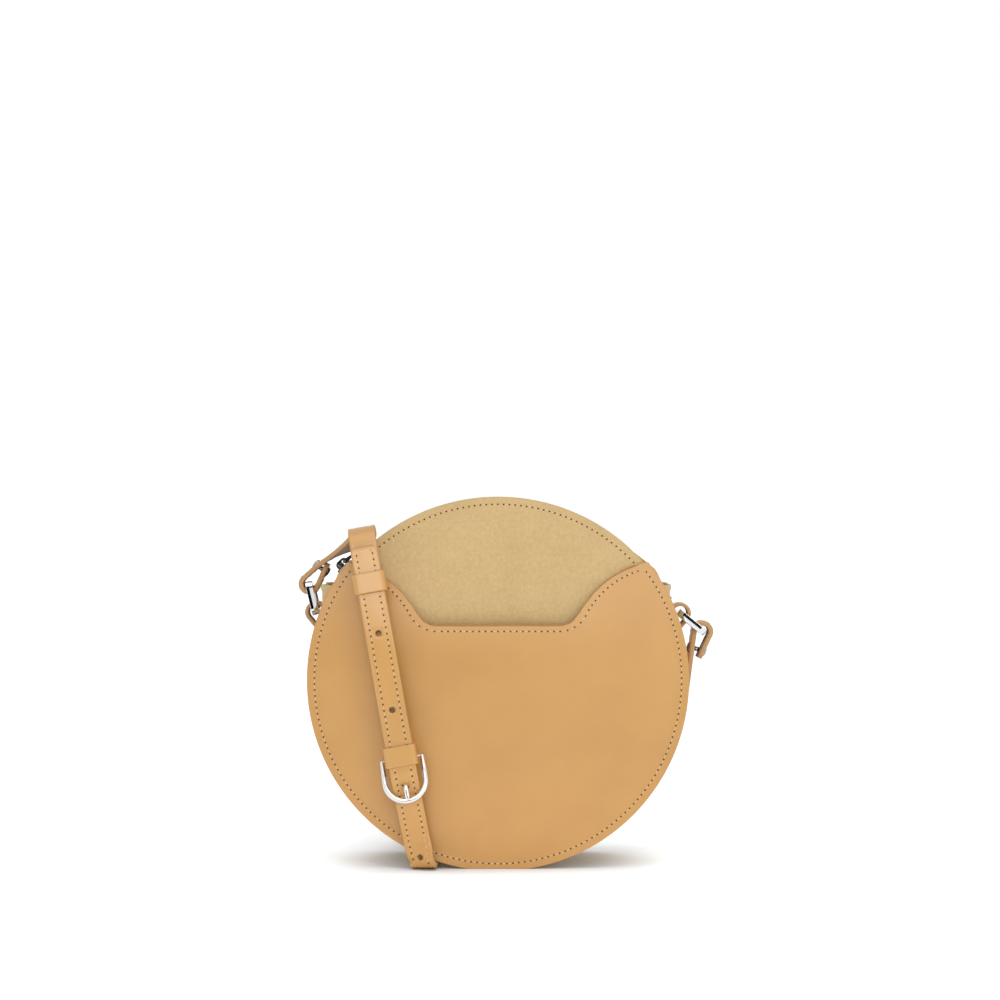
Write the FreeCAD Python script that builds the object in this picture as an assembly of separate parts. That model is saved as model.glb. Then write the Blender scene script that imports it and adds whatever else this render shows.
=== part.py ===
import FreeCAD, Part
import math
import os

# Round cross-body bag: two round panels joined by a U-shaped gusset, a zip over the top,
# a slip pocket on the front, two side rings and a two-piece buckled strap.
# Millimetres. +X right, +Y to the back, +Z up, origin under the middle of the front rim.

# Body
depth = 60.0
pocket_radius = 95.5
base_cut = 1.2
crown_drop = 3.9
crown_flattening = 1.8
panel_thickness = 1.4
pocket_thickness = 1.4
pocket_margin = 5.5
pocket_dome = 6.2
mouth_above_centre = 27.7
mouth_half_flat = 30.5
mouth_knee_across = 10.5
mouth_knee_rise = 6.3
mouth_corner_across = 32.5
mouth_corner_rise = 24.7
board_thickness = 1.0
board_inset = 14.0
lining_thickness = 0.6
lining_inset = 12.0

# Gusset
gusset_inset = 8.0
gusset_thickness = 1.4
flange_thickness = 1.2
ear_setback = 4.0
ear_height = 10.0
ear_below_zip = 0.5

# Zip over the top
zip_below_crown = 7.4
zip_end_inset = 4.0
zip_sag = 35.0
strip_thickness = 1.2
zip_gap = 16.0
tape_thickness = 0.6
tape_overlap = 4.0
chain_width = 4.4
chain_height = 2.2
tooth_pitch = 2.4
tooth_length = 1.0
divider_gap = 1.2
divider_thickness = 0.7
stop_length = 2.0
end_margin = 7.0
slider_length = 9.0
slider_width = 8.0
slider_from_end = 8.2
plate_thickness = 1.0
slider_clearance = 0.25
bridge_height = 3.6
bridge_length = 7.0
bridge_width = 1.8
bridge_wall = 1.1
puller_length = 19.0
puller_width = 6.4
puller_thickness = 1.1
puller_window = 3.4
puller_play = 1.0

# Strap
strap_width = 13.4
strap_thickness = 2.4
layer_gap = 0.1
strap_slope = 0.178
strap_in_at_tip = 29.0
tip_above_centre = 67.3
strap_off_pocket = 3.8
fold_radius = 8.0
fold_deg = 130.0
fold_above_tip = 9.4
fold_pull = 30.0
floor_gap = 0.3
loop_clearance = 1.6
loop_run = 9.0
left_inward_deg = 246.0
left_outward_deg = 41.0
right_upward_deg = 82.5
right_turn_deg = 198.0
right_rise = 30.0
turned_end = 13.0
tip_chamfer = 2.0
hole_diameter = 3.0
hole_pitch = 38.5
first_hole_below_tip = 43.6
hole_count = 5
prong_slot_extra = 1.9
drop_run = 26.0
drop_pull = 20.0
under_from_centre = 39.5
under_start = 3.0
pile_behind = 6.0
pile_run = 72.0
pile_fold_radius = 3.2
pile_stagger = 6.0
pile_last_stagger = 18.0
back_gap = 10.0
back_run_z = 42.0
back_run_x = 10.0
back_pull = 70.0
rim_gap = 3.0
rim_behind = 4.0
rim_pass_deg = -22.0
rim_pull = 55.0
ring_pull = 36.0

# Rings and their tabs
ring_wire = 2.8
ring_depth = 3.6
ring_length = 17.5
ring_side_clearance = 0.5
ring_round = 0.7
tab_width = 12.4
tab_thickness = 1.8
tab_loop_clearance = 1.4
tab_closing_deg = 40.0
tab_easing = 5.0
tab_bottom_below_ear = 41.0
tab_rivet_above_bottom = 8.0
left_bar_below_ear = 15.9
left_lean_deg = 103.2
right_bar_below_ear = 16.6
right_lean_deg = -39.0
rivet_head_radius = 3.0
rivet_head_height = 1.3
rivet_crown_radius = 1.9
rivet_shank_radius = 1.3
rivet_clearance = 0.05

# Buckle and keepers
bar_below_tip = 105.6
bar_radius = 1.3
bar_clearance = 0.15
buckle_width = 23.0
buckle_length = 23.0
buckle_stock = 2.8
buckle_depth = 2.4
buckle_tilt_deg = 20.5
strap_drop_deg = 16.0
strap_drop_radius = 20.0
prong_length = 20.0
prong_width = 2.3
prong_thickness = 1.9
prong_hole_s = 11.9
prong_crank_half = 1.9
prong_root_dip = 0.2
prong_knee_dip = 0.9
prong_tip_slope = 1.0
prong_slot_length = 9.0
prong_slot_behind = 3.4
prong_slot_play = 0.5
keeper_wall = 1.2
keeper_length = 10.0
keeper_clearance = 0.3
keeper_below_tip = 17.9
keeper_above_bar = 2.0
turned_end_buckle = 14.0

os.makedirs("parts", exist_ok=True)
V = FreeCAD.Vector
AXIS_Y = V(0, 1, 0)
BIG = 400.0

centre_z = pocket_radius - base_cut
panel_top_z = centre_z + pocket_radius - crown_drop
panel_top_radius = pocket_radius + crown_flattening
top_centre_z = panel_top_z - panel_top_radius
mouth_z = centre_z + mouth_above_centre
mouth_knee_x = mouth_half_flat + mouth_knee_across
mouth_knee_z = mouth_z + mouth_knee_rise
mouth_corner_x = mouth_knee_x + mouth_corner_across
mouth_corner_z = mouth_knee_z + mouth_corner_rise
gusset_radius = pocket_radius - gusset_inset
inner_front = panel_thickness
inner_back = depth - panel_thickness
zip_y = depth / 2
zip_top_z = panel_top_z - zip_below_crown
zip_end_x = gusset_radius - zip_end_inset
zip_end_z = zip_top_z - zip_sag
zip_radius = (zip_end_x ** 2 + zip_sag ** 2) / (2 * zip_sag)
zip_centre_z = zip_top_z - zip_radius
zip_half_angle = math.degrees(math.asin(zip_end_x / zip_radius))
end_margin_deg = math.degrees(end_margin / zip_radius)
slider_angle_deg = math.degrees(slider_from_end / zip_radius) - zip_half_angle
ear_top_z = zip_end_z - ear_below_zip
ear_start_z = ear_top_z - ear_height
front_top_z = centre_z + tip_above_centre
front_x_at_top = strap_in_at_tip - pocket_radius
fold_apex_z = front_top_z + fold_above_tip
bar_z = front_top_z - bar_below_tip
sliding_keeper_z = front_top_z - keeper_below_tip
fixed_keeper_z = bar_z + keeper_above_bar
strap_front_y = -(pocket_thickness + pocket_dome + strap_thickness / 2 + strap_off_pocket)
tab_bottom_z = ear_top_z - tab_bottom_below_ear
tab_rivet_z = tab_bottom_z + tab_rivet_above_bottom


def save(name, shape):
    """Write one node."""
    shape.exportStep("parts/%s.step" % name)


def disc(radius, z, y, thick):
    """Round plate whose axis runs front to back."""
    return Part.makeCylinder(radius, thick, V(0, y, z), AXIS_Y)


def above_floor(shape):
    """Trim a shape to the flat that the bag stands on."""
    return shape.common(Part.makeBox(BIG, BIG, BIG, V(-BIG / 2, -BIG / 2, 0)))


def panel(inset, y, thick):
    """Panel outline: the body circle with the flatter arc over the top."""
    body = disc(pocket_radius - inset, centre_z, y, thick)
    crown = disc(panel_top_radius - inset, top_centre_z, y, thick)
    return above_floor(body.common(crown))


def trough(radius, y, thick):
    """Filled U outline: half a disc below, straight sides above."""
    sides = Part.makeBox(2 * radius, thick, BIG, V(-radius, y, centre_z))
    return disc(radius, centre_z, y, thick).fuse(sides)


def flat_face(corners):
    """Flat face through the given corners."""
    return Part.Face(Part.makePolygon(corners + corners[:1]))


def arc_edge(start, start_deg, end):
    """Arc from start, leaving at start_deg, to end, in the XZ plane."""
    chord = math.hypot(end[0] - start[0], end[1] - start[1])
    chord_deg = math.degrees(math.atan2(end[1] - start[1], end[0] - start[0]))
    sag = chord / 2 * math.tan(math.radians(chord_deg - start_deg) / 2)
    turn = math.radians(chord_deg)
    mid_x = (start[0] + end[0]) / 2 + sag * math.sin(turn)
    mid_z = (start[1] + end[1]) / 2 - sag * math.cos(turn)
    arc = Part.Arc(V(start[0], 0, start[1]), V(mid_x, 0, mid_z), V(end[0], 0, end[1]))
    return arc.toShape(), 2 * chord_deg - start_deg


def mouth_cutter():
    """Solid above the scalloped mouth of the front pocket."""
    knee = (mouth_knee_x, mouth_knee_z)
    corner = (mouth_corner_x, mouth_corner_z)
    first, knee_deg = arc_edge((mouth_half_flat, mouth_z), 0.0, knee)
    second, corner_deg = arc_edge(knee, knee_deg, corner)
    reach = BIG / 2
    rise = (reach - mouth_corner_x) * math.tan(math.radians(corner_deg))
    outer = V(reach, 0, mouth_corner_z + rise)
    right = [first, second, Part.makeLine(V(mouth_corner_x, 0, mouth_corner_z), outer)]
    left = [edge.mirror(V(0, 0, 0), V(1, 0, 0)) for edge in right]
    flat = Part.makeLine(V(-mouth_half_flat, 0, mouth_z), V(mouth_half_flat, 0, mouth_z))
    top_right = V(reach, 0, BIG)
    top_left = V(-reach, 0, BIG)
    lid = [Part.makeLine(outer, top_right), Part.makeLine(top_right, top_left),
           Part.makeLine(top_left, V(-reach, 0, outer.z))]
    edges = Part.__sortEdges__([flat] + right + left + lid)
    face = Part.Face(Part.Wire(edges))
    face.translate(V(0, -BIG / 4, 0))
    return face.extrude(V(0, BIG / 2, 0))


def front_pocket():
    """Slip pocket: flat sewn margin, gently domed middle, scalloped mouth."""
    dome_base = pocket_radius - pocket_margin
    ball_radius = (dome_base ** 2 + pocket_dome ** 2) / (2 * pocket_dome)
    outer_dome = pocket_dome + pocket_thickness
    front_room = disc(dome_base, centre_z, -2 * outer_dome, 2 * outer_dome)

    def cap(height):
        ball = Part.makeSphere(ball_radius, V(0, ball_radius - height, centre_z))
        return ball.common(front_room)

    margin = disc(pocket_radius, centre_z, -pocket_thickness, pocket_thickness)
    shell = margin.fuse(cap(outer_dome)).cut(cap(pocket_dome))
    return above_floor(shell.cut(mouth_cutter()))


def ear_trim():
    """Blocks that narrow the free ears of the gusset, front and back."""
    front = Part.makeBox(BIG, ear_setback, BIG, V(-BIG / 2, inner_front, ear_start_z))
    rear = Part.makeBox(BIG, ear_setback, BIG, V(-BIG / 2, inner_back - ear_setback, ear_start_z))
    return front.fuse(rear)


def side_gusset():
    """U strip inset from the rim, with a sewn flange against each panel."""
    run = inner_back - inner_front
    web = trough(gusset_radius, inner_front, run).cut(
        trough(gusset_radius - gusset_thickness, inner_front, run))
    ceiling = Part.makeBox(BIG, BIG, BIG, V(-BIG / 2, -BIG / 4, ear_top_z))
    web = web.cut(ceiling).cut(ear_trim())
    filled = trough(gusset_radius - gusset_thickness / 2, inner_front, run)
    front = panel(0, inner_front, flange_thickness).cut(filled)
    rear = panel(0, inner_back - flange_thickness, flange_thickness).cut(filled)
    crown_cut = Part.makeBox(BIG, BIG, BIG, V(-BIG / 2, -BIG / 4, ear_start_z))
    return web.fuse(front.cut(crown_cut)).fuse(rear.cut(crown_cut)).removeSplitter()


def gusset_lining():
    """Lining strip on the inside of the gusset, up to the ears."""
    outer = gusset_radius - gusset_thickness
    start = inner_front + flange_thickness + lining_thickness
    run = depth - 2 * start
    strip = trough(outer, start, run).cut(trough(outer - lining_thickness, start, run))
    ceiling = Part.makeBox(BIG, BIG, BIG, V(-BIG / 2, -BIG / 4, ear_start_z))
    return strip.cut(ceiling)


def zip_band(low, high, y, width, half_deg):
    """Piece of a tube along the zip arc, between two radii."""
    sector = 2 * half_deg
    start = V(0, y, zip_centre_z)
    outer = Part.makeCylinder(zip_radius + high, width, start, AXIS_Y, sector)
    inner = Part.makeCylinder(zip_radius + low, width, start, AXIS_Y, sector)
    band = outer.cut(inner).Solids[0]
    middle = band.CenterOfMass
    angle = math.degrees(math.atan2(middle.x, middle.z - zip_centre_z))
    band.rotate(start, AXIS_Y, -angle)
    return band


def on_zip(shape, angle_deg):
    """Turn a shape from the top of the zip arc to an angle along it."""
    placed = shape.copy()
    placed.rotate(V(0, 0, zip_centre_z), AXIS_Y, angle_deg)
    return placed


def top_strip(front):
    """Suede strip beside the zip, with its flange up to the panel's rim."""
    reach = zip_y - zip_gap / 2 - inner_front
    y = inner_front if front else zip_y + zip_gap / 2
    band = zip_band(0, strip_thickness, y, reach, zip_half_angle)
    flange_y = inner_front if front else inner_back - flange_thickness
    flange = panel(0, flange_y, flange_thickness)
    flange = flange.cut(disc(zip_radius + strip_thickness / 2, zip_centre_z, flange_y, flange_thickness))
    return band.fuse(flange).removeSplitter()


def zip_tape(front):
    """Woven tape sewn under the strip, carrying one row of teeth."""
    width = zip_gap / 2 + tape_overlap - chain_width / 2
    y = zip_y - zip_gap / 2 - tape_overlap
    if not front:
        y = depth - y - width
    return zip_band(-tape_thickness, 0, y, width, zip_half_angle)


def zip_teeth(front):
    """One row of teeth, staggered against the other row by half a pitch."""
    reach = (chain_width - divider_gap) / 2
    y = zip_y - chain_width / 2 if front else zip_y + divider_gap / 2
    step = math.degrees(tooth_pitch / zip_radius)
    half = zip_half_angle - end_margin_deg
    count = int(2 * half / step)
    low = -chain_height / 2 - tape_thickness / 2
    corner = V(-tooth_length / 2, y, zip_radius + zip_centre_z + low)
    tooth = Part.makeBox(tooth_length, reach, chain_height, corner)
    shift = 0.0 if front else 0.5
    teeth = [on_zip(tooth, -half + (i + shift) * step) for i in range(count)]
    return Part.makeCompound(teeth)


def zip_stops():
    """Metal stops crimped over both ends of the two rows."""
    low = -chain_height / 2 - tape_thickness / 2
    stop = Part.makeBox(stop_length, chain_width, chain_height,
                        V(-stop_length / 2, zip_y - chain_width / 2, zip_radius + zip_centre_z + low))
    at = zip_half_angle - end_margin_deg / 2
    return Part.makeCompound([on_zip(stop, -at), on_zip(stop, at)])


def slider_levels():
    """Heights of the slider's inner faces above and below the chain."""
    chain_low = zip_radius + zip_centre_z - chain_height / 2 - tape_thickness / 2
    return chain_low - slider_clearance, chain_low + chain_height + slider_clearance


def zip_slider():
    """Two rounded plates on a divider, with the bridge that holds the puller."""
    low, high = slider_levels()
    half_width = slider_width / 2
    plate = Part.makeBox(slider_length, slider_width, plate_thickness,
                         V(-slider_length / 2, zip_y - half_width, 0))
    upright = [e for e in plate.Edges if abs(e.Vertexes[0].Z - e.Vertexes[1].Z) > plate_thickness / 2]
    plate = plate.makeFillet(half_width * 0.55, upright)
    upper = plate.copy()
    upper.translate(V(0, 0, high))
    lower = plate.copy()
    lower.translate(V(0, 0, low - plate_thickness))
    divider = Part.makeBox(slider_length / 3, divider_thickness, high - low + plate_thickness,
                           V(slider_length / 6, zip_y - divider_thickness / 2, low - plate_thickness / 2))
    foot = high + plate_thickness / 2
    bridge = Part.makeBox(bridge_length, bridge_width, bridge_height + plate_thickness / 2,
                          V(-bridge_length / 2, zip_y - bridge_width / 2, foot))
    crown = [e for e in bridge.Edges
             if e.BoundBox.ZMin > foot + bridge_height / 2 and e.BoundBox.YLength > bridge_width / 2]
    bridge = bridge.makeFillet(bridge_height * 0.6, crown)
    hole = Part.makeBox(bridge_length - 2 * bridge_wall, bridge_width, bridge_height - bridge_wall,
                        V(-bridge_length / 2 + bridge_wall, zip_y - bridge_width / 2, high + plate_thickness))
    body = upper.fuse(lower).fuse(divider).fuse(bridge.cut(hole))
    return on_zip(body.removeSplitter(), slider_angle_deg)


def puller_pivot():
    """Pivot of the puller on the bridge, before it is turned along the zip."""
    _, high = slider_levels()
    pin_z = high + plate_thickness + (bridge_height - bridge_wall) / 2
    return V(bridge_length / 2 - bridge_wall - puller_thickness, zip_y, pin_z)


def zip_puller():
    """Flat tab lying along the chain, its end bar caught in the bridge."""
    pivot = puller_pivot()
    half = puller_thickness / 2
    tab = Part.makeBox(puller_length, puller_width, puller_thickness,
                       V(pivot.x - half, zip_y - puller_width / 2, pivot.z - half))
    far_end = [e for e in tab.Edges if e.BoundBox.ZLength > half and e.BoundBox.XMin > pivot.x]
    tab = tab.makeFillet(puller_width * 0.45, far_end)
    window_width = bridge_width + 2 * slider_clearance + puller_play
    window = Part.makeBox(puller_window, window_width, puller_thickness,
                          V(pivot.x + half, zip_y - window_width / 2, pivot.z - half))
    return on_zip(tab.cut(window), slider_angle_deg)


def unit(x, y, z):
    """Direction of length one."""
    return V(x, y, z).normalize()


def heading(deg):
    """Direction in the XZ plane, measured from +X towards +Z."""
    turn = math.radians(deg)
    return V(math.cos(turn), 0, math.sin(turn))


class Band:
    """A flat leather band laid out station by station: place, heading and inner side."""

    def __init__(self, place, ahead, inner):
        self.stations = [(place, ahead, inner)]

    def straight(self, length):
        place, ahead, inner = self.stations[-1]
        self.stations.append((place + ahead * length, ahead, inner))
        return self

    def bend(self, deg, radius, steps):
        """Turn towards the inner side, or away from it where deg is negative."""
        place, ahead, inner = self.stations[-1]
        side = 1 if deg > 0 else -1
        centre = place + inner * (side * radius)
        axis = ahead.cross(inner)
        for i in range(1, steps + 1):
            turn = FreeCAD.Rotation(axis, deg * i / steps)
            self.stations.append((centre - turn.multVec(inner * (side * radius)),
                                  turn.multVec(ahead), turn.multVec(inner)))
        return self

    def flow(self, place, ahead, inner, pull, steps):
        """Free stretch to a given place, curving and twisting evenly."""
        start, start_ahead, start_inner = self.stations[-1]
        for i in range(1, steps + 1):
            u = i / steps
            h0 = 2 * u ** 3 - 3 * u ** 2 + 1
            h1 = u ** 3 - 2 * u ** 2 + u
            h2 = 3 * u ** 2 - 2 * u ** 3
            h3 = u ** 3 - u ** 2
            point = start * h0 + start_ahead * (pull * h1) + place * h2 + ahead * (pull * h3)
            d0 = 6 * u ** 2 - 6 * u
            d1 = 3 * u ** 2 - 4 * u + 1
            d3 = 3 * u ** 2 - 2 * u
            slope = start * d0 + start_ahead * (pull * d1) - place * d0 + ahead * (pull * d3)
            slope.normalize()
            blend = start_inner * (1 - h2) + inner * h2
            blend = blend - slope * blend.dot(slope)
            blend.normalize()
            self.stations.append((point, slope, blend))
        return self

    def length(self):
        places = [s[0] for s in self.stations]
        return sum(a.distanceToPoint(b) for a, b in zip(places, places[1:]))

    def solid(self, width, thick):
        """Closed solid with flat facets: quads where a span is plain, triangles where it twists."""
        rings = []
        for place, ahead, inner in self.stations:
            across = ahead.cross(inner)
            rings.append([place + across * (a * width / 2) + inner * (b * thick / 2)
                          for a, b in ((-1, -1), (1, -1), (1, 1), (-1, 1))])
        faces = [flat_face(rings[0]), flat_face(rings[-1])]
        for here, there in zip(rings, rings[1:]):
            for i in range(4):
                j = (i + 1) % 4
                a, b, c, d = here[i], here[j], there[j], there[i]
                twist = (b - a).cross(d - a).dot(c - a)
                if abs(twist) < 1e-4:
                    faces.append(flat_face([a, b, c, d]))
                else:
                    faces.append(flat_face([a, b, c]))
                    faces.append(flat_face([a, c, d]))
        shell = Part.makeShell(faces)
        shell.sewShape()
        return Part.makeSolid(shell)


# Front run of the strap: down along run_ahead, its inner side towards the bag
run_ahead = unit(strap_slope, 0, -1)
run_across = unit(1, 0, strap_slope)
to_bag = V(0, 1, 0)
hole_strap_y = strap_front_y - strap_thickness - keeper_wall - 2 * layer_gap
loop_radius = ring_wire / 2 + loop_clearance + strap_thickness / 2
bar_loop_radius = bar_radius + bar_clearance + strap_thickness / 2
ring_reach = ring_length - ring_wire


def on_front(z, y):
    """Point on the strap's front centre line at a height."""
    return V(front_x_at_top + (front_top_z - z) * strap_slope, y, z)


bar_point = on_front(bar_z, strap_front_y + bar_loop_radius)
tab_loop_radius = math.hypot(ring_wire, ring_depth) / 2 + tab_loop_clearance + tab_thickness / 2
tab_bar_x = gusset_radius + tab_thickness / 2 + tab_loop_radius
left_tab_bar = V(-tab_bar_x, zip_y, ear_top_z - left_bar_below_ear)
left_strap_bar = left_tab_bar + heading(left_lean_deg) * ring_reach
right_tab_bar = V(tab_bar_x, zip_y, ear_top_z - right_bar_below_ear)
right_strap_bar = right_tab_bar + heading(right_lean_deg) * ring_reach


def buckle_strap_band():
    """Short strap: left ring loop, twist, fold over the rim, down to the buckle bar."""
    start_inner = heading(left_inward_deg - 90)
    arc_start = left_strap_bar - start_inner * loop_radius
    inward = heading(left_inward_deg)
    band = Band(arc_start - inward * turned_end, inward, start_inner)
    band.straight(turned_end).bend(left_inward_deg - left_outward_deg, loop_radius, 12).straight(loop_run)
    fold_end_z = fold_apex_z - strap_thickness / 2 - fold_radius
    fold_end = on_front(fold_end_z, strap_front_y)
    back_turn = FreeCAD.Rotation(run_ahead.cross(to_bag), -fold_deg)
    fold_inner = back_turn.multVec(to_bag)
    fold_start = fold_end + to_bag * fold_radius - fold_inner * fold_radius
    band.flow(fold_start, back_turn.multVec(run_ahead), fold_inner, fold_pull, 14)
    band.bend(fold_deg, fold_radius, 10)
    run = (fold_end_z - bar_z) / -run_ahead.z
    band.straight(run).bend(180, bar_loop_radius, 8).straight(turned_end_buckle)
    return band


def hole_strap_band():
    """Long strap: tip, front run, under the bag, folded behind it, up to the right ring."""
    band = Band(on_front(front_top_z, hole_strap_y), run_ahead, to_bag)
    below_keeper = keeper_length / 2 + keeper_clearance
    band.straight((front_top_z - bar_z) / -run_ahead.z + below_keeper)
    band.bend(strap_drop_deg, strap_drop_radius, 4).straight(drop_run)
    floor_z = floor_gap + strap_thickness / 2
    band.flow(V(-under_from_centre, -under_start, floor_z), to_bag, V(0, 0, 1), drop_pull, 10)
    band.straight(under_start + depth + pile_behind + pile_run)
    band.bend(180, pile_fold_radius, 8).straight(pile_run - pile_stagger)
    band.bend(-180, pile_fold_radius, 8).straight(pile_run - pile_stagger)
    band.bend(180, pile_fold_radius, 8).straight(pile_run - pile_last_stagger)
    band.flow(V(back_run_x, depth + back_gap, back_run_z), unit(1, 0, 0.1), to_bag, back_pull, 10)
    outward = heading(rim_pass_deg)
    upward = heading(rim_pass_deg + 90)
    rim_point = V(0, depth + rim_behind, centre_z) + outward * (pocket_radius + rim_gap)
    band.flow(rim_point, unit(*(upward * 0.8 - to_bag * 0.6)), outward, rim_pull, 10)
    climb = heading(right_upward_deg)
    ring_inner = heading(right_upward_deg - 90)
    arc_start = right_strap_bar - ring_inner * loop_radius
    band.flow(arc_start - climb * right_rise, climb, ring_inner, ring_pull, 10)
    band.straight(right_rise).bend(right_turn_deg, loop_radius, 12).straight(turned_end)
    return band


def drill(point, along, radius, reach):
    """Round cutter through a band at a point."""
    return Part.makeCylinder(radius, 2 * reach, point - along * reach, along)


def punch_holes(strap):
    """Adjusting holes down the front, one stretched by the prong."""
    radius = hole_diameter / 2
    for i in range(hole_count):
        along = first_hole_below_tip + i * hole_pitch
        point = V(on_front(front_top_z, hole_strap_y)) + run_ahead * along
        strap = strap.cut(drill(point, to_bag, radius, -strap_front_y))
    centre = bar_point + run_ahead * prong_hole_s
    for shift in (-prong_slot_extra / 2, 0, prong_slot_extra / 2):
        strap = strap.cut(drill(centre + run_ahead * shift, to_bag, radius, -strap_front_y))
    return strap


def trim_tip(strap):
    """Cut the two corners off the strap's tip."""
    tip = on_front(front_top_z, hole_strap_y - strap_thickness)
    for side in (-1, 1):
        corner = tip + run_across * (side * strap_width / 2)
        along_end = corner - run_across * (side * tip_chamfer)
        wedge = flat_face([corner, along_end, corner + run_ahead * tip_chamfer])
        strap = strap.cut(wedge.extrude(to_bag * (2 * strap_thickness)))
    return strap


def rivet(point, outward, grip):
    """Domed cap rivet: a cap each side of a shank of the given grip."""
    seat = grip / 2
    crown = seat + rivet_head_height
    half = [(0, 0), (rivet_shank_radius, 0), (rivet_shank_radius, seat), (rivet_head_radius, seat),
            (rivet_crown_radius, crown), (0, crown)]
    profile = flat_face([V(r, 0, z) for r, z in half])
    near_half = profile.revolve(V(0, 0, 0), V(0, 0, 1), 360)
    body = near_half.fuse(near_half.mirror(V(0, 0, 0), V(0, 0, 1))).removeSplitter()
    body.Placement = FreeCAD.Placement(point, FreeCAD.Rotation(V(0, 0, 1), outward))
    return body


def ring(tab_bar, strap_bar):
    """Rectangular ring of flat stock, its long bars running front to back."""
    span = strap_width + 2 * ring_side_clearance
    outer = Part.makeBox(ring_length, span + 2 * ring_wire, ring_depth,
                         V(-ring_wire / 2, -span / 2 - ring_wire, -ring_depth / 2))
    window = Part.makeBox(ring_length - 2 * ring_wire, span, ring_depth,
                          V(ring_wire / 2, -span / 2, -ring_depth / 2))
    corners = [e for e in outer.Edges if e.BoundBox.ZLength > ring_depth / 2]
    frame = outer.makeFillet(ring_wire * 0.6, corners).cut(window)
    faces = [e for e in frame.Edges if e.BoundBox.ZLength < ring_round]
    frame = frame.makeChamfer(ring_round * 0.6, faces)
    along = strap_bar - tab_bar
    turn = FreeCAD.Rotation(along, AXIS_Y, along.cross(AXIS_Y), "XYZ")
    frame.Placement = FreeCAD.Placement(tab_bar, turn)
    return frame


def tab_band(bar):
    """Leather tab: up the gusset, over the ring's bar, back down on itself."""
    side = 1 if bar.x > 0 else -1
    leg_x = gusset_radius + tab_thickness / 2
    band = Band(V(side * leg_x, zip_y, tab_bottom_z), V(0, 0, 1), V(side, 0, 0))
    band.straight(bar.z - tab_bottom_z)
    band.bend(180 + tab_closing_deg, tab_loop_radius, 12)
    turn = math.radians(tab_closing_deg)
    outer_x = tab_bar_x + tab_loop_radius * math.cos(turn)
    target_x = leg_x + tab_thickness + layer_gap
    pinch = (outer_x - target_x - tab_easing * (1 - math.cos(turn))) / math.sin(turn)
    band.straight(pinch).bend(-tab_closing_deg, tab_easing, 4)
    band.straight(band.stations[-1][0].z - tab_bottom_z)
    return band


def tab_rivet_point(bar):
    """Middle of the stack that a tab's rivet clamps."""
    side = 1 if bar.x > 0 else -1
    inside = gusset_radius - gusset_thickness - lining_thickness
    outside = gusset_radius + 2 * tab_thickness + layer_gap
    return V(side * (inside + outside) / 2, zip_y, tab_rivet_z), V(side, 0, 0), outside - inside


def strap_rivet_seat(band, loop_first, loop_last):
    """Rivet place across the two layers just above a ring's loop."""
    first = band.stations[loop_first]
    last = band.stations[loop_last]
    seat_first = first[0] - first[1] * loop_run
    seat_last = last[0] + last[1] * loop_run
    axis = unit(*(seat_last - seat_first))
    grip = seat_first.distanceToPoint(seat_last) + strap_thickness / abs(axis.dot(first[2]))
    return (seat_first + seat_last) * 0.5, axis, grip


def buckle_placement(tilt_deg):
    """Frame of the buckle: across the strap, down along it, into the bag."""
    tilt = math.radians(tilt_deg)
    down = run_ahead * math.cos(tilt) + V(0, -1, 0) * math.sin(tilt)
    return FreeCAD.Placement(bar_point, FreeCAD.Rotation(run_across, down, run_across.cross(down), "XYZ"))


def buckle_frame():
    """D-shaped frame with its round bar."""
    outer_half = buckle_width / 2
    straight_run = buckle_length - outer_half
    half_depth = buckle_depth / 2

    def d_shape(half, low):
        block = Part.makeBox(2 * half, straight_run - low, buckle_depth, V(-half, low, -half_depth))
        round_end = Part.makeCylinder(half, buckle_depth, V(0, straight_run, -half_depth))
        return block.fuse(round_end).removeSplitter()

    body = d_shape(outer_half, -bar_radius).cut(d_shape(outer_half - buckle_stock, -BIG / 8))
    body = body.makeChamfer(buckle_depth * 0.22, [e for e in body.Edges if e.BoundBox.ZLength < 0.01])
    bar_length = buckle_width - buckle_stock
    bar = Part.makeCylinder(bar_radius, bar_length, V(-bar_length / 2, 0, 0), V(1, 0, 0))
    body = body.fuse(bar).removeSplitter()
    body.Placement = buckle_placement(buckle_tilt_deg)
    return body


def buckle_prong():
    """Cranked prong: an eye round the bar, up through the hole, on to the frame's end."""
    half_stock = prong_thickness / 2
    rest = (buckle_length - buckle_stock / 2) * math.sin(math.radians(buckle_tilt_deg))
    lift = -(rest + buckle_depth / 2 + half_stock + 3 * bar_clearance)
    crank = [(0.0, -prong_root_dip), (prong_hole_s - prong_crank_half, -prong_knee_dip),
             (prong_hole_s + prong_crank_half, lift + prong_tip_slope), (prong_length, lift)]
    eye_outer = bar_radius + bar_clearance + half_stock
    solid = Part.makeCylinder(eye_outer, prong_width, V(-prong_width / 2, 0, 0), V(1, 0, 0))
    for (s0, y0), (s1, y1) in zip(crank, crank[1:]):
        length = math.hypot(s1 - s0, y1 - y0)
        leg = Part.makeBox(prong_width, length, prong_thickness, V(-prong_width / 2, 0, -half_stock))
        knuckle = Part.makeCylinder(half_stock, prong_width, V(-prong_width / 2, 0, 0), V(1, 0, 0))
        leg = leg.fuse(knuckle)
        leg.rotate(V(0, 0, 0), V(1, 0, 0), math.degrees(math.atan2(y1 - y0, s1 - s0)))
        leg.translate(V(0, s0, y0))
        solid = solid.fuse(leg)
    bore = Part.makeCylinder(bar_radius + bar_clearance, prong_width, V(-prong_width / 2, 0, 0), V(1, 0, 0))
    solid = solid.cut(bore).removeSplitter()
    solid.Placement = buckle_placement(0.0)
    return solid


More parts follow.
